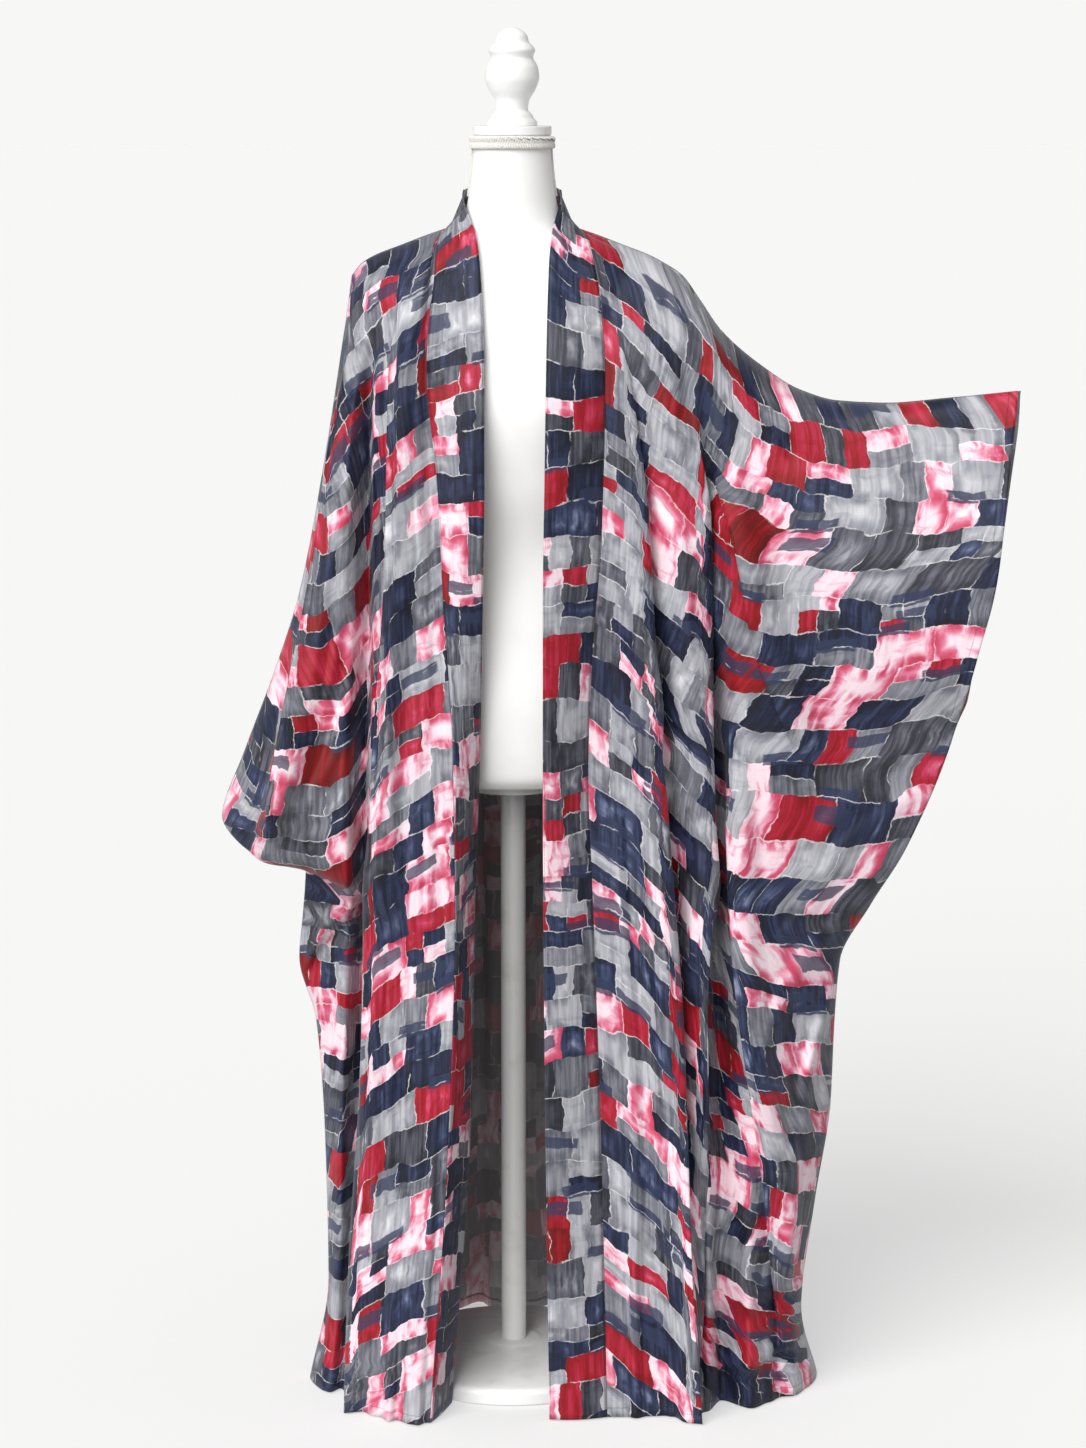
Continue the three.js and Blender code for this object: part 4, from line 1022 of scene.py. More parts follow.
class NodeBoard:
    """Short calls that lay out one material's nodes."""

    def __init__(self, name: str) -> None:
        """Starts a material with its shader and its output."""
        self.material = bpy.data.materials.new(name)
        self.material.use_nodes = True
        self.nodes = self.material.node_tree.nodes

    def feed(self, node: Node, fed: dict[int | str, object]) -> None:
        """Links a node's inputs to values, or sets numbers and colours on them.

        Args:
            node: the node.
            fed: what each input gets.
        """
        for key, value in fed.items():
            if isinstance(value, Value):
                self.material.node_tree.links.new(value.socket, node.inputs[key])
            elif value is not None:
                node.inputs[key].default_value = value

    def node(self, kind: str, fed: dict[int | str, object], **settings: object) -> Node:
        """A new node.

        Args:
            kind: its kind.
            fed: what its inputs get.
            settings: its settings.

        Returns:
            The node.
        """
        node = self.nodes.new(f"ShaderNode{kind}")
        for name, setting in settings.items():
            setattr(node, name, setting)
        self.feed(node, fed)
        return node

    def take(self, node: Node, key: int | str = 0) -> Value:
        """What a node gives."""
        return Value(self, node.outputs[key])

    def math(self, operation: str, *parts: Value | float) -> Value:
        """One step of arithmetic."""
        return self.take(self.node("Math", dict(enumerate(parts)), operation=operation))

    def join(self, *parts: Value | float) -> Value:
        """A vector from three values."""
        return self.take(self.node("CombineXYZ", dict(enumerate(parts))))

    def split(self, kind: str, value: Value) -> tuple[Value, ...]:
        """The three parts of a vector or colour."""
        node = self.node(kind, {0: value})
        return tuple(self.take(node, key) for key in range(3))

    def noise(self, grain: Grain, *place: Value | float) -> Value:
        """Cloudy noise at a place.

        Args:
            grain: the noise.
            place: two values that the grain scales, or three, where a third that it has no scale
                for takes the place of its draw.

        Returns:
            The noise, about 0.5.
        """
        scaled = [part * speed for part, speed in zip(place, grain.scale)]
        spot = (*scaled, *place[len(scaled):], grain.draw)[:3]
        fed = {"Vector": self.join(*spot), "Scale": 1.0, "Detail": grain.detail}
        return self.take(self.node("TexNoise", fed), "Fac")

    def chance(self, *place: Value | float) -> tuple[Value, ...]:
        """Four even chances for a cell."""
        node = self.node("TexWhiteNoise", {"Vector": self.join(*place)}, noise_dimensions="3D")
        return (self.take(node), *self.split("SeparateColor", self.take(node, "Color")))

    def blend(self, share: object, a: object, b: object, way: str = "MIX") -> Value:
        """Mixes two colours."""
        fed = {"Factor": share, "A": a, "B": b}
        return self.take(self.node("Mix", fed, data_type="RGBA", blend_type=way), "Result")

    def steps(self, value: Value, stops: Stops) -> tuple[Value, Value]:
        """Picks a colour in clean steps.

        Args:
            value: what picks it.
            stops: where each step starts, and its colour with a fourth number.

        Returns:
            The colour and its fourth number.
        """
        node = self.node("ValToRGB", {0: value})
        node.color_ramp.interpolation = "CONSTANT"
        elements = node.color_ramp.elements
        for index, (place, color) in enumerate(stops):
            element = elements[index] if index < len(elements) else elements.new(place)
            element.position = place
            element.color = color
        return self.take(node, "Color"), self.take(node, "Alpha")

    def power(self, color: Value, exponent: Value) -> Value:
        """A colour raised to a power, as thin dye takes less light away."""
        return self.take(self.node("Gamma", {"Color": color, "Gamma": exponent}))

    def uv(self) -> tuple[Value, ...]:
        """Place across and down in the cloth's own chart, in metres."""
        return self.split("SeparateXYZ", self.take(self.node("UVMap", {}, uv_map=CHART)))[:2]

    def place(self) -> tuple[Value, ...]:
        """Place on the object in metres."""
        return self.split("SeparateXYZ", self.take(self.node("TexCoord", {}), "Object"))

    def attribute(self, name: str) -> Value:
        """A number that the mesh carries at its points."""
        return self.take(self.node("Attribute", {}, attribute_name=name), "Fac")

    def bump(self, height: Value, distance: float, strength: float, below: Value | None = None) -> Value:
        """Relief from a height, over another relief if one is given."""
        fed = {"Distance": distance, "Strength": strength, "Height": height, "Normal": below}
        return self.take(self.node("Bump", fed))

    def shade(self, fed: dict[int | str, object]) -> Material:
        """Feeds the shader, and hands over the material."""
        self.feed(self.nodes["Principled BSDF"], fed)
        return self.material


# Dyes at full strength, as linear colours
NAVY = (0.018, 0.027, 0.070)
CHARCOAL = (0.085, 0.090, 0.112)
GREY = (0.215, 0.225, 0.255)
CRIMSON = (0.400, 0.009, 0.030)


@dataclass(frozen=True)
class PrintFinish:
    """Crepe with brushed blocks of thin dye in wavy rows, and fine pale lines between them.

    Sizes are in metres. A dye's fourth number is half its strength: strong dye is deep, and thin
    dye lets the white cloth show through. Pairs named _step are where a soft step starts and
    ends, pairs named _dye scale and shift a share into an amount of dye, and pairs named _bump
    are a relief's depth and strength.
    """

    name: str
    fade: float = 0.0
    white: Numbers = (0.88, 0.86, 0.88, 1.0)
    # Grey of the faded wrong side, also used as the painted shade in the stitches' dents
    faded_and_stitch_shade: Numbers = (0.47, 0.45, 0.45, 1.0)
    dyes: Stops = (
        (0.00, (*NAVY, 0.54)), (0.24, (*CHARCOAL, 0.53)), (0.40, (*GREY, 0.54)), (0.52, (*GREY, 0.30)),
        (0.70, (*CRIMSON, 0.03)), (0.86, (*CRIMSON, 0.54)), (0.975, (*CRIMSON, 0.80)),
    )
    bar_dyes: Stops = ((0.0, (*NAVY, 1.0)), (0.72, (*CRIMSON, 1.0)))

    # How the rows and the blocks' sides bend
    slow_wave: Grain = Grain((9.0, 9.0), Draw.SLOW_WAVE, 1.0)
    quick_wave: Grain = Grain((55.0, 55.0), Draw.QUICK_WAVE)
    side_wave: Grain = Grain((48.0, 48.0), Draw.SIDE_WAVE)
    slow_height: float = 0.050
    quick_height: float = 0.010
    side_width: float = 0.014

    # Rows, blocks and the parts that some blocks are split into
    row_height: float = 0.041
    block_width: float = 0.050
    block_spread: float = 0.026
    block_shift: float = 9.0
    split_across: float = 0.62
    split_down: float = 0.70
    part_draw: float = 1.31
    tints: Grain = Grain((0.37, 0.37), Draw.CLOUD, 1.0)
    tint_spread: float = 0.9

    # Pale lines between the blocks
    rough: Grain = Grain((420.0, 420.0), Draw.ROUGH)
    rough_width: float = 0.0020
    line_step: Pair = (0.0002, 0.0011)
    line_cover: float = 0.52
    patches: Grain = Grain((38.0, 38.0), Draw.PATCH)
    patch_step: Pair = (0.44, 0.58)

    # Streaks, strokes and pools of the brush
    streaks: Grain = Grain((210.0, 13.0), detail=3.0)
    strokes: Grain = Grain((24.0, 95.0), detail=3.0)
    pools: Grain = Grain((62.0, 20.0), detail=3.0)
    streak_step: Pair = (0.34, 0.68)
    streak_dye: Pair = (0.46, 0.77)
    thin_pool_step: Pair = (0.40, 0.66)
    thin_wash_step: Pair = (0.40, 0.85)
    thin_dye: Pair = (0.6, 0.55)
    thinnest: float = 0.85
    tone_dye: Pair = (0.5, 1.75)
    rim_step: Pair = (0.001, 0.017)
    rim_pool_step: Pair = (0.42, 0.62)
    rim_cover: float = 0.55
    bleed_step: Pair = (0.52, 0.72)
    bleed_cover: float = 0.16

    # Dark bars of a dry brush
    bar_length: float = 0.052
    bar_shift: float = 5.0
    bar_chance: float = 0.12
    bar_side_step: Pair = (0.09, 0.15)
    bar_end_step: Pair = (0.02, 0.07)
    dry: Grain = Grain((45.0, 330.0), Draw.DRY, 3.0)
    dry_step: Pair = (0.22, 0.36)
    bar_cover: float = 0.85

    # Stitches, and the painted shade in their dents
    thread_step: Pair = (0.0003, 0.0009)
    stitch_length: float = 0.0032
    stitch_share: float = 0.72
    # How strongly the stitches' dents darken the cloth, as painted shade
    stitch_shade: float = 0.7

    # The crepe's relief and gloss
    weave: Grain = Grain((1100.0, 900.0), Draw.WEAVE, 1.0)
    weave_bump: Pair = (0.0003, 0.3)
    crinkle: Grain = Grain((210.0, 150.0), Draw.EVEN, 3.0)
    crinkle_bump: Pair = (0.0006, 0.35)
    dents: Grain = Grain((34.0, 20.0), Draw.DENT)
    dent_bump: Pair = (0.005, 0.30)
    stitch_bump: Pair = (0.0005, 0.6)
    roughness: Pair = (0.16, 0.50)
    specular: float = 0.32
    sheen: float = 0.10
    sheen_roughness: float = 0.45

    def make(self) -> Material:
        """Lays out the material.

        Returns:
            The material.
        """
        board = NodeBoard(self.name)
        u, v = board.uv()
        at_u, at_v = self.waved(board, u, v)
        color, lines = self.blocks(board, at_u, at_v)
        color = self.bars(board, at_u, at_v, color)
        color = board.blend(lines * self.line_cover, color, self.white)
        if self.fade > 0.0:
            color = board.blend(self.fade, color, self.faded_and_stitch_shade)
        stitch = self.stitch(board, u, v)
        crinkle = board.noise(self.crinkle, u, v)
        relief = board.bump(board.noise(self.weave, u, v), *self.weave_bump)
        relief = board.bump(crinkle, *self.crinkle_bump, relief)
        relief = board.bump(board.noise(self.dents, u, v), *self.dent_bump, relief)
        return board.shade({
            # The stitches' dents darken the colour towards the grey, as painted shade
            "Base Color": board.blend(stitch, color, self.faded_and_stitch_shade, "MULTIPLY"),
            "Normal": board.bump(1.0 - stitch, *self.stitch_bump, relief),
            "Roughness": crinkle.scaled(*self.roughness),
            "Specular IOR Level": self.specular,
            "Sheen Weight": self.sheen,
            "Sheen Roughness": self.sheen_roughness,
        })

    def waved(self, board: NodeBoard, u: Value, v: Value) -> tuple[Value, Value]:
        """Bends the rows and roughens the blocks' sides, as a hand does with a brush.

        Args:
            board: the material's nodes.
            u: place across.
            v: place down.

        Returns:
            The bent places.
        """
        slow = board.noise(self.slow_wave, u, v) * self.slow_height
        quick = board.noise(self.quick_wave, u, v) * self.quick_height
        side = board.noise(self.side_wave, u, v) * self.side_width
        return side + u, v + (slow + quick)

    def blocks(self, board: NodeBoard, u: Value, v: Value) -> tuple[Value, Value]:
        """The dyed blocks and the pale lines between them.

        Args:
            board: the material's nodes.
            u: place across.
            v: place down.

        Returns:
            The colour, and where the pale lines lie.
        """
        rows = v / self.row_height
        row = rows.floor()
        row_wide, row_start, _, _ = board.chance(row, Draw.ROW, Draw.ROW_SIDE)
        width = row_wide.scaled(self.block_spread, self.block_width)
        cells = row_start * self.block_shift + u / width
        cell = cells.floor()
        _, chance_across, chance_down, wash = board.chance(cell, row, Draw.BLOCK)
        count_u = chance_across.over(self.split_across) + 1.0
        count_v = chance_down.over(self.split_down) + 1.0
        parts_u = cells.fract() * count_u
        parts_v = rows.fract() * count_v
        part = parts_v.floor() * 2.0 + parts_u.floor()
        pick, tone, _, _ = board.chance(cell, row, part.scaled(self.part_draw, Draw.PART))
        tint = board.noise(self.tints, cell, row) * self.tint_spread
        dye, strength = board.steps((tint + pick).fract(), self.dyes)
        near_u = parts_u.fract().near_side() / count_u * width
        near_v = parts_v.fract().near_side() / count_v * self.row_height
        near = near_u.least(near_v)
        amount = self.dye_amount(board, u, v, tone, wash, near, strength)
        color = board.blend(1.0, board.power(dye, amount), self.white, "MULTIPLY")
        ragged = near + (board.noise(self.rough, u, v) - 0.5) * self.rough_width
        patchy = board.noise(self.patches, u, v).ramp(*self.patch_step)
        return color, (1.0 - ragged.ramp(*self.line_step)) * patchy

    def dye_amount(
        self, board: NodeBoard, u: Value, v: Value, tone: Value, wash: Value, near: Value, strength: Value
    ) -> Value:
        """How much dye the streaks, washes and pools of the brush leave.

        Args:
            board: the material's nodes.
            u: place across.
            v: place down.
            tone: the block's chance of being stronger.
            wash: the block's chance of running thin.
            near: distance from the block's side.
            strength: half the block's own strength.

        Returns:
            The amount.
        """
        streak = board.noise(self.streaks, *board.uv(), tone).ramp(*self.streak_step).scaled(*self.streak_dye)
        stroke = board.noise(self.strokes, u, v, wash)
        pool = board.noise(self.pools, u, v, wash)
        thin = pool.ramp(*self.thin_pool_step) * wash.ramp(*self.thin_wash_step)
        held = 1.0 - thin * stroke.scaled(*self.thin_dye) * self.thinnest
        rim = (1.0 - near.ramp(*self.rim_step)) * self.rim_cover
        spread = pool.ramp(*self.rim_pool_step) * rim
        bleed = stroke.ramp(*self.bleed_step) * self.bleed_cover + spread
        return strength * tone.scaled(*self.tone_dye) * streak * held + bleed

    def bars(self, board: NodeBoard, u: Value, v: Value, color: Value) -> Value:
        """Short dark bars dragged over some of the blocks with a dry brush.

        Args:
            board: the material's nodes.
            u: place across.
            v: place down.
            color: the colour below.

        Returns:
            The colour with the bars.
        """
        rows = (v + self.row_height / 3.0) / (self.row_height / 2.0)
        row = rows.floor()
        start = board.chance(row, Draw.BAR_SIDE, Draw.BAR_ROW)[0]
        cells = start * self.bar_shift + u / self.bar_length
        some, kind, _, _ = board.chance(cells.floor(), row, Draw.BAR)
        sides = rows.fract().near_side().ramp(*self.bar_side_step)
        ends = cells.fract().near_side().ramp(*self.bar_end_step)
        brush = board.noise(self.dry, u, v).ramp(*self.dry_step)
        share = some.under(self.bar_chance) * (sides * ends * brush) * self.bar_cover
        return board.blend(share, color, board.steps(kind, self.bar_dyes)[0])

    def stitch(self, board: NodeBoard, u: Value, v: Value) -> Value:
        """Where the hem's thread sinks into the cloth, with painted shade in its dents.

        Args:
            board: the material's nodes.
            u: place across.
            v: place down.

        Returns:
            How much painted shade each place gets.
        """
        off = board.math("ABSOLUTE", board.attribute(MARGIN) - (HEM_WIDTH - STITCH_INSET) * MM)
        run = ((u + v) / self.stitch_length).fract().under(self.stitch_share)
        return (1.0 - off.ramp(*self.thread_step)) * (run * self.stitch_shade)


@dataclass(frozen=True)
class PlainFinish:
    """Two shades that run into each other in clouds, with a relief that each kind adds."""

    name: str
    light: Numbers
    dark: Numbers
    cloud: Grain
    dark_step: Pair
    roughness: Pair
    sheen: float = 0.0
    coat: float = 0.0

    def make(self) -> Material:
        """Lays out the material.

        Returns:
            The material.
        """
        board = NodeBoard(self.name)
        place = board.place()
        cloud = board.noise(self.cloud, *place)
        return board.shade({
            "Base Color": board.blend(cloud.ramp(*self.dark_step), self.light, self.dark),
            "Normal": self.relief(board, cloud, *place),
            "Roughness": cloud.scaled(*self.roughness),
            "Sheen Weight": self.sheen,
            "Coat Weight": self.coat,
        })

    def relief(self, board: NodeBoard, cloud: Value, *place: Value) -> Value:
        """The relief, which each kind of finish lays out in its own way."""
        raise NotImplementedError


@dataclass(frozen=True)
class JerseyFinish(PlainFinish):
    """Stretched jersey with a seam down the middle of the back."""

    ribs: float = 620.0
    loop_height: float = 0.0011
    knit_bump: Pair = (0.0001, 0.4)
    seam_step: Pair = (0.0004, 0.0016)
    seam_bump: Pair = (0.0008, 0.8)

    def relief(self, board: NodeBoard, cloud: Value, x: Value, y: Value, z: Value) -> Value:
        """The knit's ribs and loops, and the seam.

        Args:
            board: the material's nodes.
            cloud: the noise that shades the cloth.
            x: place to the side.
            y: place to the back.
            z: height.

        Returns:
            The relief.
        """
        rib = board.math("SINE", board.math("ARCTAN2", y, x) * self.ribs)
        loop = board.math("SINE", z * (2.0 * math.pi / self.loop_height))
        seam = (1.0 - board.math("ABSOLUTE", x).ramp(*self.seam_step)) * y.over(0.0)
        return board.bump(1.0 - seam, *self.seam_bump, board.bump(rib * loop, *self.knit_bump))


@dataclass(frozen=True)
class PaintFinish(PlainFinish):
    """Satin paint on turned wood."""

    lathe: Grain = Grain((1.0, 1.0, 900.0))
    lathe_bump: Pair = (0.0002, 0.3)
    brush_bump: Pair = (0.001, 0.15)

    def relief(self, board: NodeBoard, cloud: Value, x: Value, y: Value, z: Value) -> Value:
        """The lathe's rings under the paint's brush marks."""
        rings = board.noise(self.lathe, 0.0, 0.0, z)
        return board.bump(cloud, *self.brush_bump, board.bump(rings, *self.lathe_bump))


@dataclass(frozen=True)
class ThreadFinish(PlainFinish):
    """Twisted thread."""

    twist_bump: Pair = (0.0004, 0.7)

    def relief(self, board: NodeBoard, cloud: Value, *place: Value) -> Value:
        """The thread's twist."""
        return board.bump(cloud, *self.twist_bump)


JERSEY = JerseyFinish(
    "form_jersey", (0.93, 0.93, 0.92, 1.0), (0.90, 0.895, 0.88, 1.0), Grain((14.0, 14.0, 9.0), detail=4.0),
    dark_step=(0.42, 0.68), roughness=(0.14, 0.74), sheen=0.15)
PAINT = PaintFinish(
    "white_satin_paint", (0.90, 0.90, 0.895, 1.0), (0.80, 0.79, 0.765, 1.0),
    Grain((30.0, 30.0, 30.0), detail=5.0), dark_step=(0.5, 0.78), roughness=(0.22, 0.24), coat=0.15)
THREAD = ThreadFinish(
    "braid_thread", (0.80, 0.79, 0.76, 1.0), (0.62, 0.60, 0.56, 1.0), Grain((900.0, 900.0, 900.0)),
    dark_step=(0.45, 0.65), roughness=(0.2, 0.5), sheen=0.2)


@dataclass(frozen=True)
class PaperFinish:
    """Even paper that also gives off light of its own."""

    name: str
    base: float
    glow: float
    blue: float

    def make(self) -> Material:
        """Lays out the material.

        Returns:
            The material.
        """
        return NodeBoard(self.name).shade({
            "Base Color": (self.base, self.base, self.base * self.blue, 1.0),
            "Roughness": 1.0,
            "Specular IOR Level": 0.0,
            "Emission Color": (1.0, 1.0, self.blue, 1.0),
            "Emission Strength": self.glow,
        })


@dataclass(frozen=True)
class Chart:
    """Places on the print, and margins from the hemmed edges, for each net of the robe."""

    band_width: float = 76.0
    far: float = 400.0
    ridge_top_x: float = -196.0
    ridge_top_z: float = 1390.0
    ridge_foot_x: float = -309.0
    ridge_foot_z: float = 724.0
    ridge_blend: float = 130.0
    turned_slope: float = 0.9
    low_height: float = 500.0
    high_height: float = 900.0
    band_shift: float = 430.0

    def drop(self, half: Half, net: Array, out: Array) -> Array:
        """How far the print's rows have sunk at each point, going outwards.

        Args:
            half: the half of the robe.
            net: the points.
            out: how much cloth lies between each point and the middle of the robe.

        Returns:
            The drops.
        """
        z = net[..., 2]
        share = smooth((z - self.low_height) / (self.high_height - self.low_height))
        drop = mix(half.lower_rows.read("drop", out), half.upper_rows.read("drop", out), share)
        if half.step is None:
            return drop
        down = np.clip((self.ridge_top_z - z) / (self.ridge_top_z - self.ridge_foot_z), 0.0, 1.0)
        ridge = -mix(self.ridge_top_x, self.ridge_foot_x, down)
        on_sleeve = smooth((z - self.ridge_foot_z) / self.ridge_blend)
        return drop - self.turned_slope * np.maximum(np.abs(net[..., 0]) - ridge, 0.0) * on_sleeve

    def panel(self, half: Half, layer: Layer, net: Array, rows: Array) -> list[Array]:
        """Chart and margins of one panel whose first column is its inner edge.

        Args:
            half: the half of the robe.
            layer: front or back.
            net: the panel's points.
            rows: shares of the way down at the rows.

        Returns:
            Places on the flat cloth, and distances from the hem and the sleeve's open edge.
        """
        across = walked(net) + hidden_cloth(half.folds[layer], net[..., 0], net[..., 2], half.sign)
        drop = self.drop(half, net, across + np.abs(net[:1, :, 0]))
        to_hem = np.swapaxes(walked(np.swapaxes(net, 0, 1)[::-1])[::-1], 0, 1)
        opened = half.outer_edge.read("open", rows) > 0.0
        to_edge = np.where(opened, walked(net[::-1])[::-1], self.far)
        return [np.stack((half.sign * across, -net[..., 2] - drop), axis=-1), np.minimum(to_hem, to_edge)]

    def band(self, half: Half, net: Array) -> list[Array]:
        """Chart of a band, and margins that put its stitches just inside both long edges.

        Args:
            half: the half of the robe.
            net: the band's points.

        Returns:
            The chart and the margins.
        """
        columns, rows = net.shape[:2]
        over = np.linspace(0.0, 1.0, columns)[:, None] * np.ones(rows)
        down = walked(np.swapaxes(net, 0, 1))[:, columns // 2]
        across = half.sign * (self.band_shift + over * self.band_width)
        near = np.minimum(over, 1.0 - over) * self.band_width
        chart = np.stack((across, np.broadcast_to(down, across.shape)), axis=-1)
        return [chart, near + HEM_WIDTH - 2.0 * STITCH_INSET]


@dataclass
class Robe:
    """The robe's five sewn pieces and their turned hems."""

    rests_on: str
    wrong_fade: float = 0.55
    back_cut: Pair = (1.10, 1.50)
    back_area: float = 1.20
    band_cut: Pair = (0.076, 1.62)
    shape: RobeShape = field(default_factory=RobeShape)
    chart: Chart = field(default_factory=Chart)
    finishes: tuple[Material, ...] = ()

    def build(self) -> None:
        wrong = PrintFinish("printed_crepe_wrong_side", fade=self.wrong_fade)
        self.finishes = (PrintFinish("printed_crepe").make(), wrong.make())
        self.build_back()
        for half in (RAISED, HANGING):
            self.build_front(half)
            self.build_band(half)

    def build_back(self) -> None:
        """Builds the back, cut in one with the sleeves' backs."""
        net = self.shape.back_net()
        middle = BACK_COLUMNS + MIDDLE_COLUMNS - 2
        rows = self.shape.rows()
        right = self.chart.panel(HANGING, Layer.BACK, net[:middle + 1][::-1], rows)
        left = self.chart.panel(RAISED, Layer.BACK, net[middle:], rows)
        chart, margin = (np.concatenate((a[1:][::-1], b)) for a, b in zip(right, left))
        sheet = Sheet(net, chart, margin, BACKWARD, CLOTH_WALL)
        self.panel("back", "kimono_back", sheet, self.back_cut, self.back_area)

    def build_front(self, half: Half) -> None:
        """Builds the front of one half, cut in one with the sleeve's front.

        Args:
            half: the half of the robe.
        """
        net = self.shape.front_net(half)
        chart, margin = self.chart.panel(half, Layer.FRONT, net, self.shape.rows())
        sheet = Sheet(net, chart, margin, FRONTWARD, CLOTH_WALL)
        name = f"{half.side}_front"
        self.panel(name, name, sheet, half.cut, half.cut_area)

    def build_band(self, half: Half) -> None:
        """Builds the front band of one half, up to the middle of the neck.

        Args:
            half: the half of the robe.
        """
        net = self.shape.band_net(half)
        sheet = Sheet(net, *self.chart.band(half, net), FRONTWARD, BAND_WALL)
        strip = sheet.build(f"{half.side}_band_cloth", self.finishes, "printed_band")
        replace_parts(strip, f"band_{half.side}")

    def panel(self, name: str, node: str, sheet: Sheet, cut: Pair, area: float) -> None:
        """Args:
            name: the start of the pieces' names.
            node: the solid that the panel replaces.
            sheet: the panel's net, chart and margins.
            cut: not used.
            area: not used.
        """
        piece = sheet.build(f"{name}_cloth", self.finishes, "printed_crepe")
        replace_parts(piece, node)
        hem = self.hem_strip(sheet, f"{name}_hem")

    def hem_strip(self, panel: Sheet, name: str) -> Object:
        """Builds the turned-in strip along a panel's hem.

        Args:
            panel: the panel.
            name: the strip's name.

        Returns:
            The strip.
        """
        facing = 1.0 if faces_out(panel.net, panel.outward) else -1.0
        inside = panel.net - unit(crossed(panel.net)) * facing * (CLOTH_WALL + HEM_WALL) / 2.0
        last = inside[:, -1]
        up = unit(inside[:, STRIP_START] - last) * HEM_WIDTH
        strip = last[:, None] + up[:, None] * np.linspace(1.0, 0.0, HEM_ROWS)[:, None]
        place = np.repeat(panel.chart[:, -1:], HEM_ROWS, axis=1)
        margin = np.full(strip.shape[:2], self.chart.far)
        sheet = Sheet(strip, place, margin, panel.outward, HEM_WALL)
        return sheet.build(name, self.finishes[-1:], "printed_crepe")


def finished(name: str, bm: BMesh, finish: Material) -> Object:
    """Makes a piece from a mesh in work, smooth but for its sharp edges.

    Args:
        name: the piece's name.
        bm: the mesh in work.
        finish: the piece's finish.

    Returns:
        The finished piece.
    """
    bmesh.ops.recalc_face_normals(bm, faces=bm.faces)
    for face in bm.faces:
        face.smooth = True
    for edge in bm.edges:
        edge.smooth = len(edge.link_faces) < 2 or edge.calc_face_angle(0.0) < SHARP_ANGLE
    piece = placed(name, mesh_of(name, bm), finish)
    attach(piece, BODY)
    LOG.info("%s built", name)
    return piece


def turned(name: str, profile: Table, height: float, finish: Material) -> Object:
    """Turns a profile round the upright axis.

    Args:
        name: the piece's name.
        profile: radii and heights, with steps counted along it.
        height: height of the profile's zero.
        finish: the piece's finish.

    Returns:
        The finished piece.
    """
    steps = profile.column("step")
    fine = np.linspace(steps[0], steps[-1], int(steps[-1] - steps[0]) * PROFILE_STEPS + 1)
    radius = profile.read("radius", fine) * MM
    level = (profile.read("z", fine) + height) * MM
    bm = bmesh.new()
    line = [bm.verts.new((r, 0.0, z)) for r, z in zip(radius, level)]
    edges = [bm.edges.new(pair) for pair in zip(line, line[1:])]
    bmesh.ops.spin(
        bm, geom=line + edges, cent=(0.0, 0.0, 0.0), axis=(0.0, 0.0, 1.0), dvec=(0.0, 0.0, 0.0),
        angle=2.0 * math.pi, steps=TURNED_SIDES, use_merge=True, use_normal_flip=False,
        use_duplicate=False)
    bmesh.ops.remove_doubles(bm, verts=bm.verts, dist=WELD)
    return finished(name, bm, finish)


def strand(bm: BMesh, path: Array, radius: float, sides: int, closed: bool) -> None:
    """Adds a round strand along a path.

    Args:
        bm: the mesh in work.
        path: the path's points.
        radius: the strand's radius.
        sides: how many sides it has.
        closed: whether the path runs back to its start.
    """
    along = np.roll(path, -1, axis=0) - np.roll(path, 1, axis=0)
    if not closed:
        along[0], along[-1] = path[1] - path[0], path[-1] - path[-2]
    along = unit(along)
    side = unit(np.cross(along, np.array(ASKEW)))
    lift = np.cross(side, along)
    angle = np.linspace(0.0, 2.0 * np.pi, sides + 1)[:, None]
    net = path[:, None] + radius * (side[:, None] * np.cos(angle) + lift[:, None] * np.sin(angle))
    if closed:
        net = np.concatenate((net, net[:1]))
    made = bmesh.ops.create_grid(bm, x_segments=len(net) - 1, y_segments=sides, size=1.0)["verts"]
    for vert in made:
        column = grid_index(vert.co.x, len(net))
        vert.co = Vector(net[column, grid_index(vert.co.y, sides + 1)] * MM)
    bmesh.ops.remove_doubles(bm, verts=made, dist=WELD)


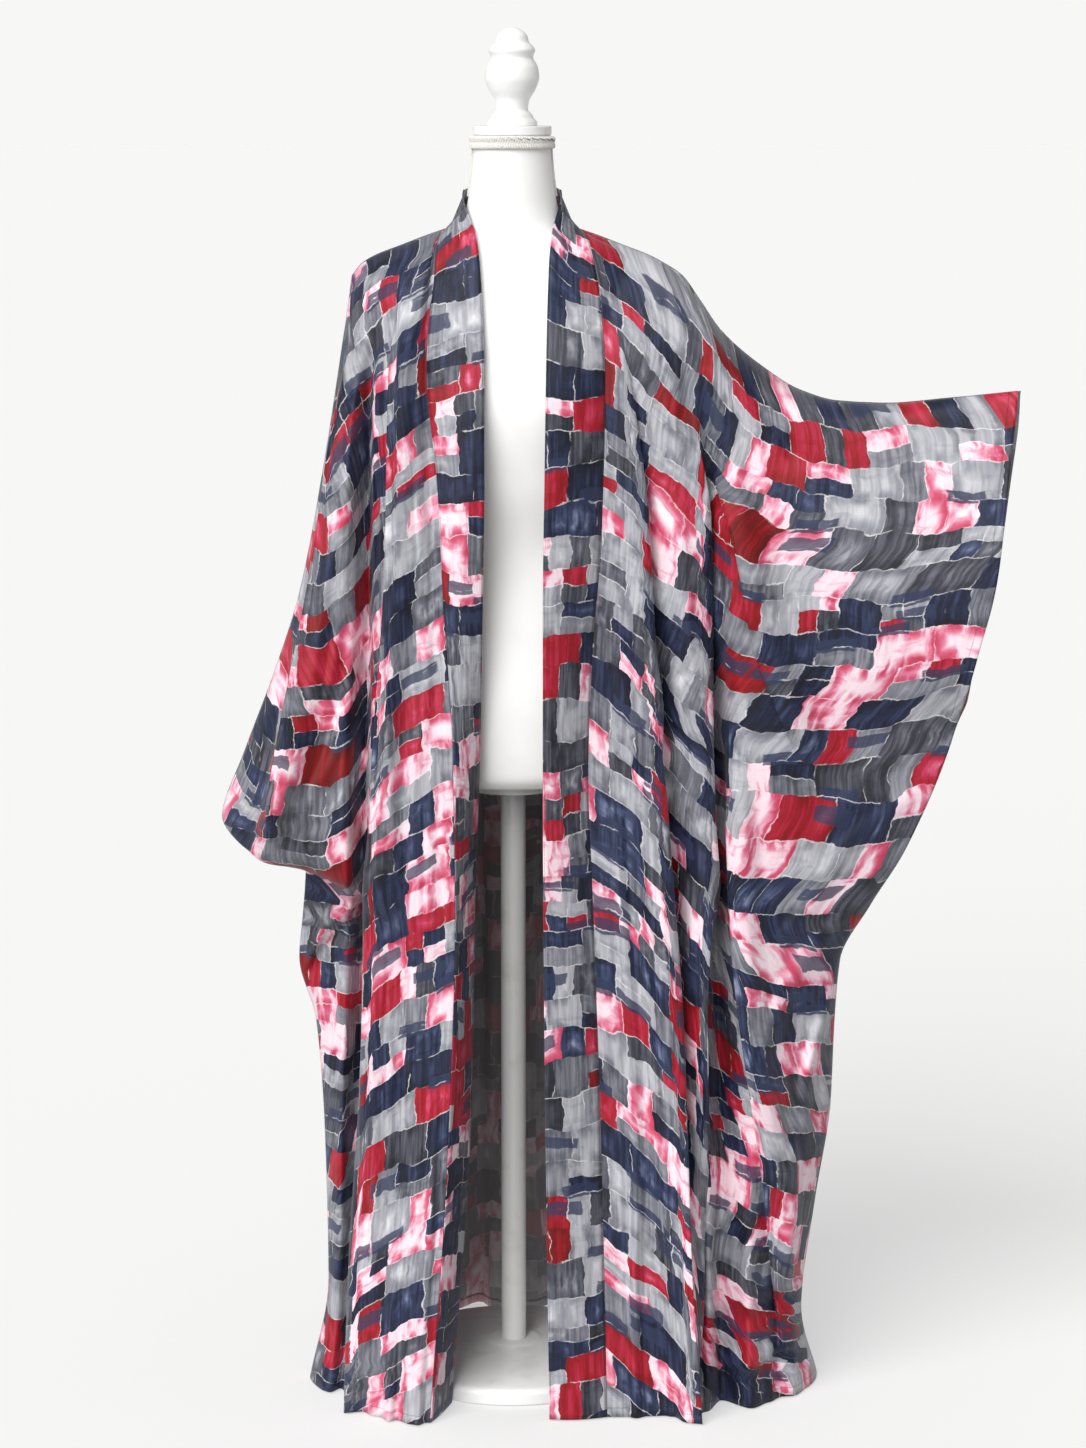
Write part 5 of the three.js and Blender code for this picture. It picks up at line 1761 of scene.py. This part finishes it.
@dataclass
class DressForm:
    """The limbless form: its cloth cover and the braid at its neck."""

    cover_finish: Material = field(default_factory=JERSEY.make)
    thread: Material = field(default_factory=THREAD.make)
    slot: str = "form_cloth"
    cap_rings: int = 3
    collar_low: float = 1565.5
    collar_high: float = 1581.0
    collar_radius: float = 48.4
    tape_radius: float = 46.9
    plaits: int = 34
    plait_points: int = 16
    strands: int = 3
    strand_radius: float = 1.7
    strand_sides: int = 6
    strand_middle: float = 1.2
    strand_lift: float = 0.8
    side_low: float = 1508.0
    side_width: float = 1.5
    side_strand: float = 0.8
    side_plaits: int = 12

    def build(self) -> str:
        """Builds the cover and the braids.

        Returns:
            The cover's name.
        """
        cover = self.build_cover()
        self.build_collar()
        self.build_side_braids()
        return cover.name

    def build_cover(self) -> Object:
        """Builds the torso's cover as one closed smooth body.

        Returns:
            The cover.
        """
        bm = bmesh.new()
        bmesh.ops.create_uvsphere(bm, u_segments=FORM_SIDES, v_segments=FORM_RINGS, radius=1.0)
        cap = self.cap_rings / FORM_RINGS
        for vert in bm.verts:
            turn = math.acos(max(-1.0, min(1.0, vert.co.z))) / math.pi
            angle = math.atan2(vert.co.y, vert.co.x)
            share = min(1.0, turn / cap, (1.0 - turn) / cap)
            down = min(1.0, max(0.0, (turn - cap) / (1.0 - 2.0 * cap)))
            vert.co = self.skin_point(angle, FORM_TOP + (FORM_BOTTOM - FORM_TOP) * down, share)
        bmesh.ops.remove_doubles(bm, verts=bm.verts, dist=WELD)
        cover = finished("torso_cover", bm, self.cover_finish)
        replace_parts(cover, "form_torso")
        return cover

    def skin_point(self, angle: float, z: float, share: float) -> Vector:
        """A point of the form's section.

        Args:
            angle: angle round the upright axis.
            z: height of the section.
            share: how far the point lies on the way from the axis to the skin.

        Returns:
            The point in metres.
        """
        height = np.array(z)
        power = 2.0 / float(FORM.read("square", height))
        across = math.copysign(abs(math.cos(angle)) ** power, math.cos(angle))
        deep = math.copysign(abs(math.sin(angle)) ** power, math.sin(angle))
        x = float(FORM.read("half_width", height)) * across * share
        y = float(FORM.read("middle", height)) + float(FORM.read("half_depth", height)) * deep * share
        return Vector((x, y, z)) * MM

    def plait(self, turns: Array, radius: float) -> list[tuple[Array, Array]]:
        """Courses of a plait's strands.

        Args:
            turns: angles along the plait, a full turn for each plait.
            radius: a strand's radius.

        Returns:
            How far each strand is lifted, and its swing to the side between -1 and 1.
        """
        phases = [turns + index * 2.0 * np.pi / self.strands for index in range(self.strands)]
        return [
            (radius * (self.strand_middle + self.strand_lift * np.sin(2.0 * phase)), np.sin(phase))
            for phase in phases
        ]

    def build_collar(self) -> None:
        """Builds the plaited trim round the neck, on its woven tape."""
        middle = (self.collar_low + self.collar_high) / 2.0
        half_width = (self.collar_high - self.collar_low) / 2.0 - self.strand_radius
        turn = np.linspace(0.0, 2.0 * np.pi, self.plaits * self.plait_points, endpoint=False)
        bm = bmesh.new()
        for lift, swing in self.plait(self.plaits * turn, self.strand_radius):
            radius = self.collar_radius + lift
            path = points_of(radius * np.cos(turn), radius * np.sin(turn), middle + half_width * swing)
            strand(bm, path, self.strand_radius, self.strand_sides, True)
        finished("neck_braid", bm, self.thread)
        low, high = self.collar_low, self.collar_high
        tape = Table(TABLE_NAMES, (
            (0, self.tape_radius, low), (1, self.collar_radius, low), (2, self.collar_radius, high),
            (3, self.tape_radius, high), (4, self.tape_radius, low),
        ))
        turned("neck_tape", tape, 0.0, self.thread)

    def build_side_braids(self) -> None:
        """Builds the narrow plaits down both sides of the neck."""
        steps = self.side_plaits * self.plait_points
        z = np.linspace(self.side_low, self.collar_low, steps)
        turns = np.linspace(0.0, 2.0 * np.pi * self.side_plaits, steps)
        bm = bmesh.new()
        for sign in (-1, 1):
            for lift, swing in self.plait(turns, self.side_strand):
                out = FORM.read("half_width", z) + lift
                y = FORM.read("middle", z) + self.side_width * swing
                strand(bm, points_of(sign * out, y, z), self.side_strand, self.strand_sides, False)
        bmesh.ops.holes_fill(bm, edges=bm.edges, sides=self.strand_sides)
        finished("side_braids", bm, self.thread)


@dataclass
class Stand:
    """The painted wooden parts: neck plate, finial, bottom plate, pole and base."""

    paint: Material = field(default_factory=PAINT.make)

    def build(self) -> None:
        """Builds the five turned parts in place of their solids."""
        length = BOTTOM_PLATE_LEVEL - SEAM_GAP - POLE_LEVEL
        pole = Table(TABLE_NAMES, (
            (0, 0, 0), (1, POLE_RADIUS, 0), (2, POLE_RADIUS, length), (3, 0, length),
        ))
        for name, node, profile, level in (
            ("neck_disc", "neck_plate", NECK_PLATE, NECK_PLATE_LEVEL),
            ("finial", "neck_finial", FINIAL, FINIAL_LEVEL),
            ("bottom_disc", "bottom_plate", BOTTOM_PLATE, BOTTOM_PLATE_LEVEL),
            ("pole", "stand_pole", pole, POLE_LEVEL),
            ("base", "stand_base", BASE, 0.0),
        ):
            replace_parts(turned(name, profile, level, self.paint), node)


@dataclass(frozen=True)
class Studio:
    """Pale floor and backdrop, soft light and the camera where the photograph was taken from."""

    floor_half: float = 90.0
    floor_paper: PaperFinish = PaperFinish("floor_paper", base=0.45, glow=0.45, blue=0.997)
    dome_radius: float = 90.0
    dome_rounds: int = 4
    dome_paper: PaperFinish = PaperFinish("backdrop_paper", base=0.0, glow=0.93, blue=0.992)
    ambient: float = 0.45
    sun_power: float = 3.4
    sun_spread: float = 50.0
    sun_height: float = 35.0
    sun_side: float = -31.0
    sun_color: Numbers = (1.0, 0.995, 0.985)
    camera_at: Numbers = (0.038, -4.5, 1.65)
    camera_tilt: float = 79.87
    camera_lens: float = 89.75
    camera_sensor: float = 36.0
    camera_end: float = 200.0

    def build(self) -> None:
        """Builds the stage, the lights and the camera."""
        scene = bpy.context.scene
        scene.view_settings.view_transform = "Standard"
        self.build_floor()
        self.build_dome()
        scene.world = self.air()
        self.build_light()
        scene.camera = self.build_camera()
        LOG.info("studio built")

    def build_floor(self) -> None:
        """Lays the floor."""
        bm = bmesh.new()
        bmesh.ops.create_grid(bm, x_segments=1, y_segments=1, size=self.floor_half)
        floor = placed("floor", mesh_of("floor", bm), self.floor_paper.make())
        floor.visible_diffuse = False

    def build_dome(self) -> None:
        """Hangs the pale backdrop round everything, seen by the camera alone."""
        bm = bmesh.new()
        bmesh.ops.create_icosphere(bm, subdivisions=self.dome_rounds, radius=self.dome_radius)
        bmesh.ops.reverse_faces(bm, faces=bm.faces)
        dome = placed("backdrop", mesh_of("backdrop", bm), self.dome_paper.make())
        dome.visible_diffuse = False
        dome.visible_glossy = False
        dome.visible_transmission = False
        dome.visible_shadow = False

    def air(self) -> World:
        """The even light of the room.

        Returns:
            The world that gives it.
        """
        world = bpy.data.worlds.new("studio_air")
        world.use_nodes = True
        air = world.node_tree.nodes["Background"]
        air.inputs["Color"].default_value = (1.0, 1.0, 1.0, 1.0)
        air.inputs["Strength"].default_value = self.ambient
        return world

    def build_light(self) -> None:
        """Sets one soft light at the front left."""
        light = bpy.data.lights.new("window", "SUN")
        light.energy = self.sun_power
        light.angle = math.radians(self.sun_spread)
        light.color = self.sun_color
        lamp = bpy.data.objects.new("window", light)
        bpy.context.scene.collection.objects.link(lamp)
        lamp.rotation_euler = (math.radians(90.0 - self.sun_height), 0.0, math.radians(self.sun_side))

    def build_camera(self) -> Object:
        """Places the camera.

        Returns:
            The camera.
        """
        camera = bpy.data.cameras.new("camera")
        camera.lens = self.camera_lens
        camera.sensor_width = self.camera_sensor
        camera.clip_end = self.camera_end
        view = bpy.data.objects.new("camera", camera)
        bpy.context.scene.collection.objects.link(view)
        view.location = self.camera_at
        view.rotation_euler = (math.radians(self.camera_tilt), 0.0, 0.0)
        return view


def main() -> None:
    """Builds the dress form, its stand, the robe and the studio."""
    logging.basicConfig(level=logging.INFO, format="%(name)s: %(message)s")
    cover = DressForm().build()
    Stand().build()
    Robe(cover).build()
    Studio().build()


if __name__ == "__main__":
    main()
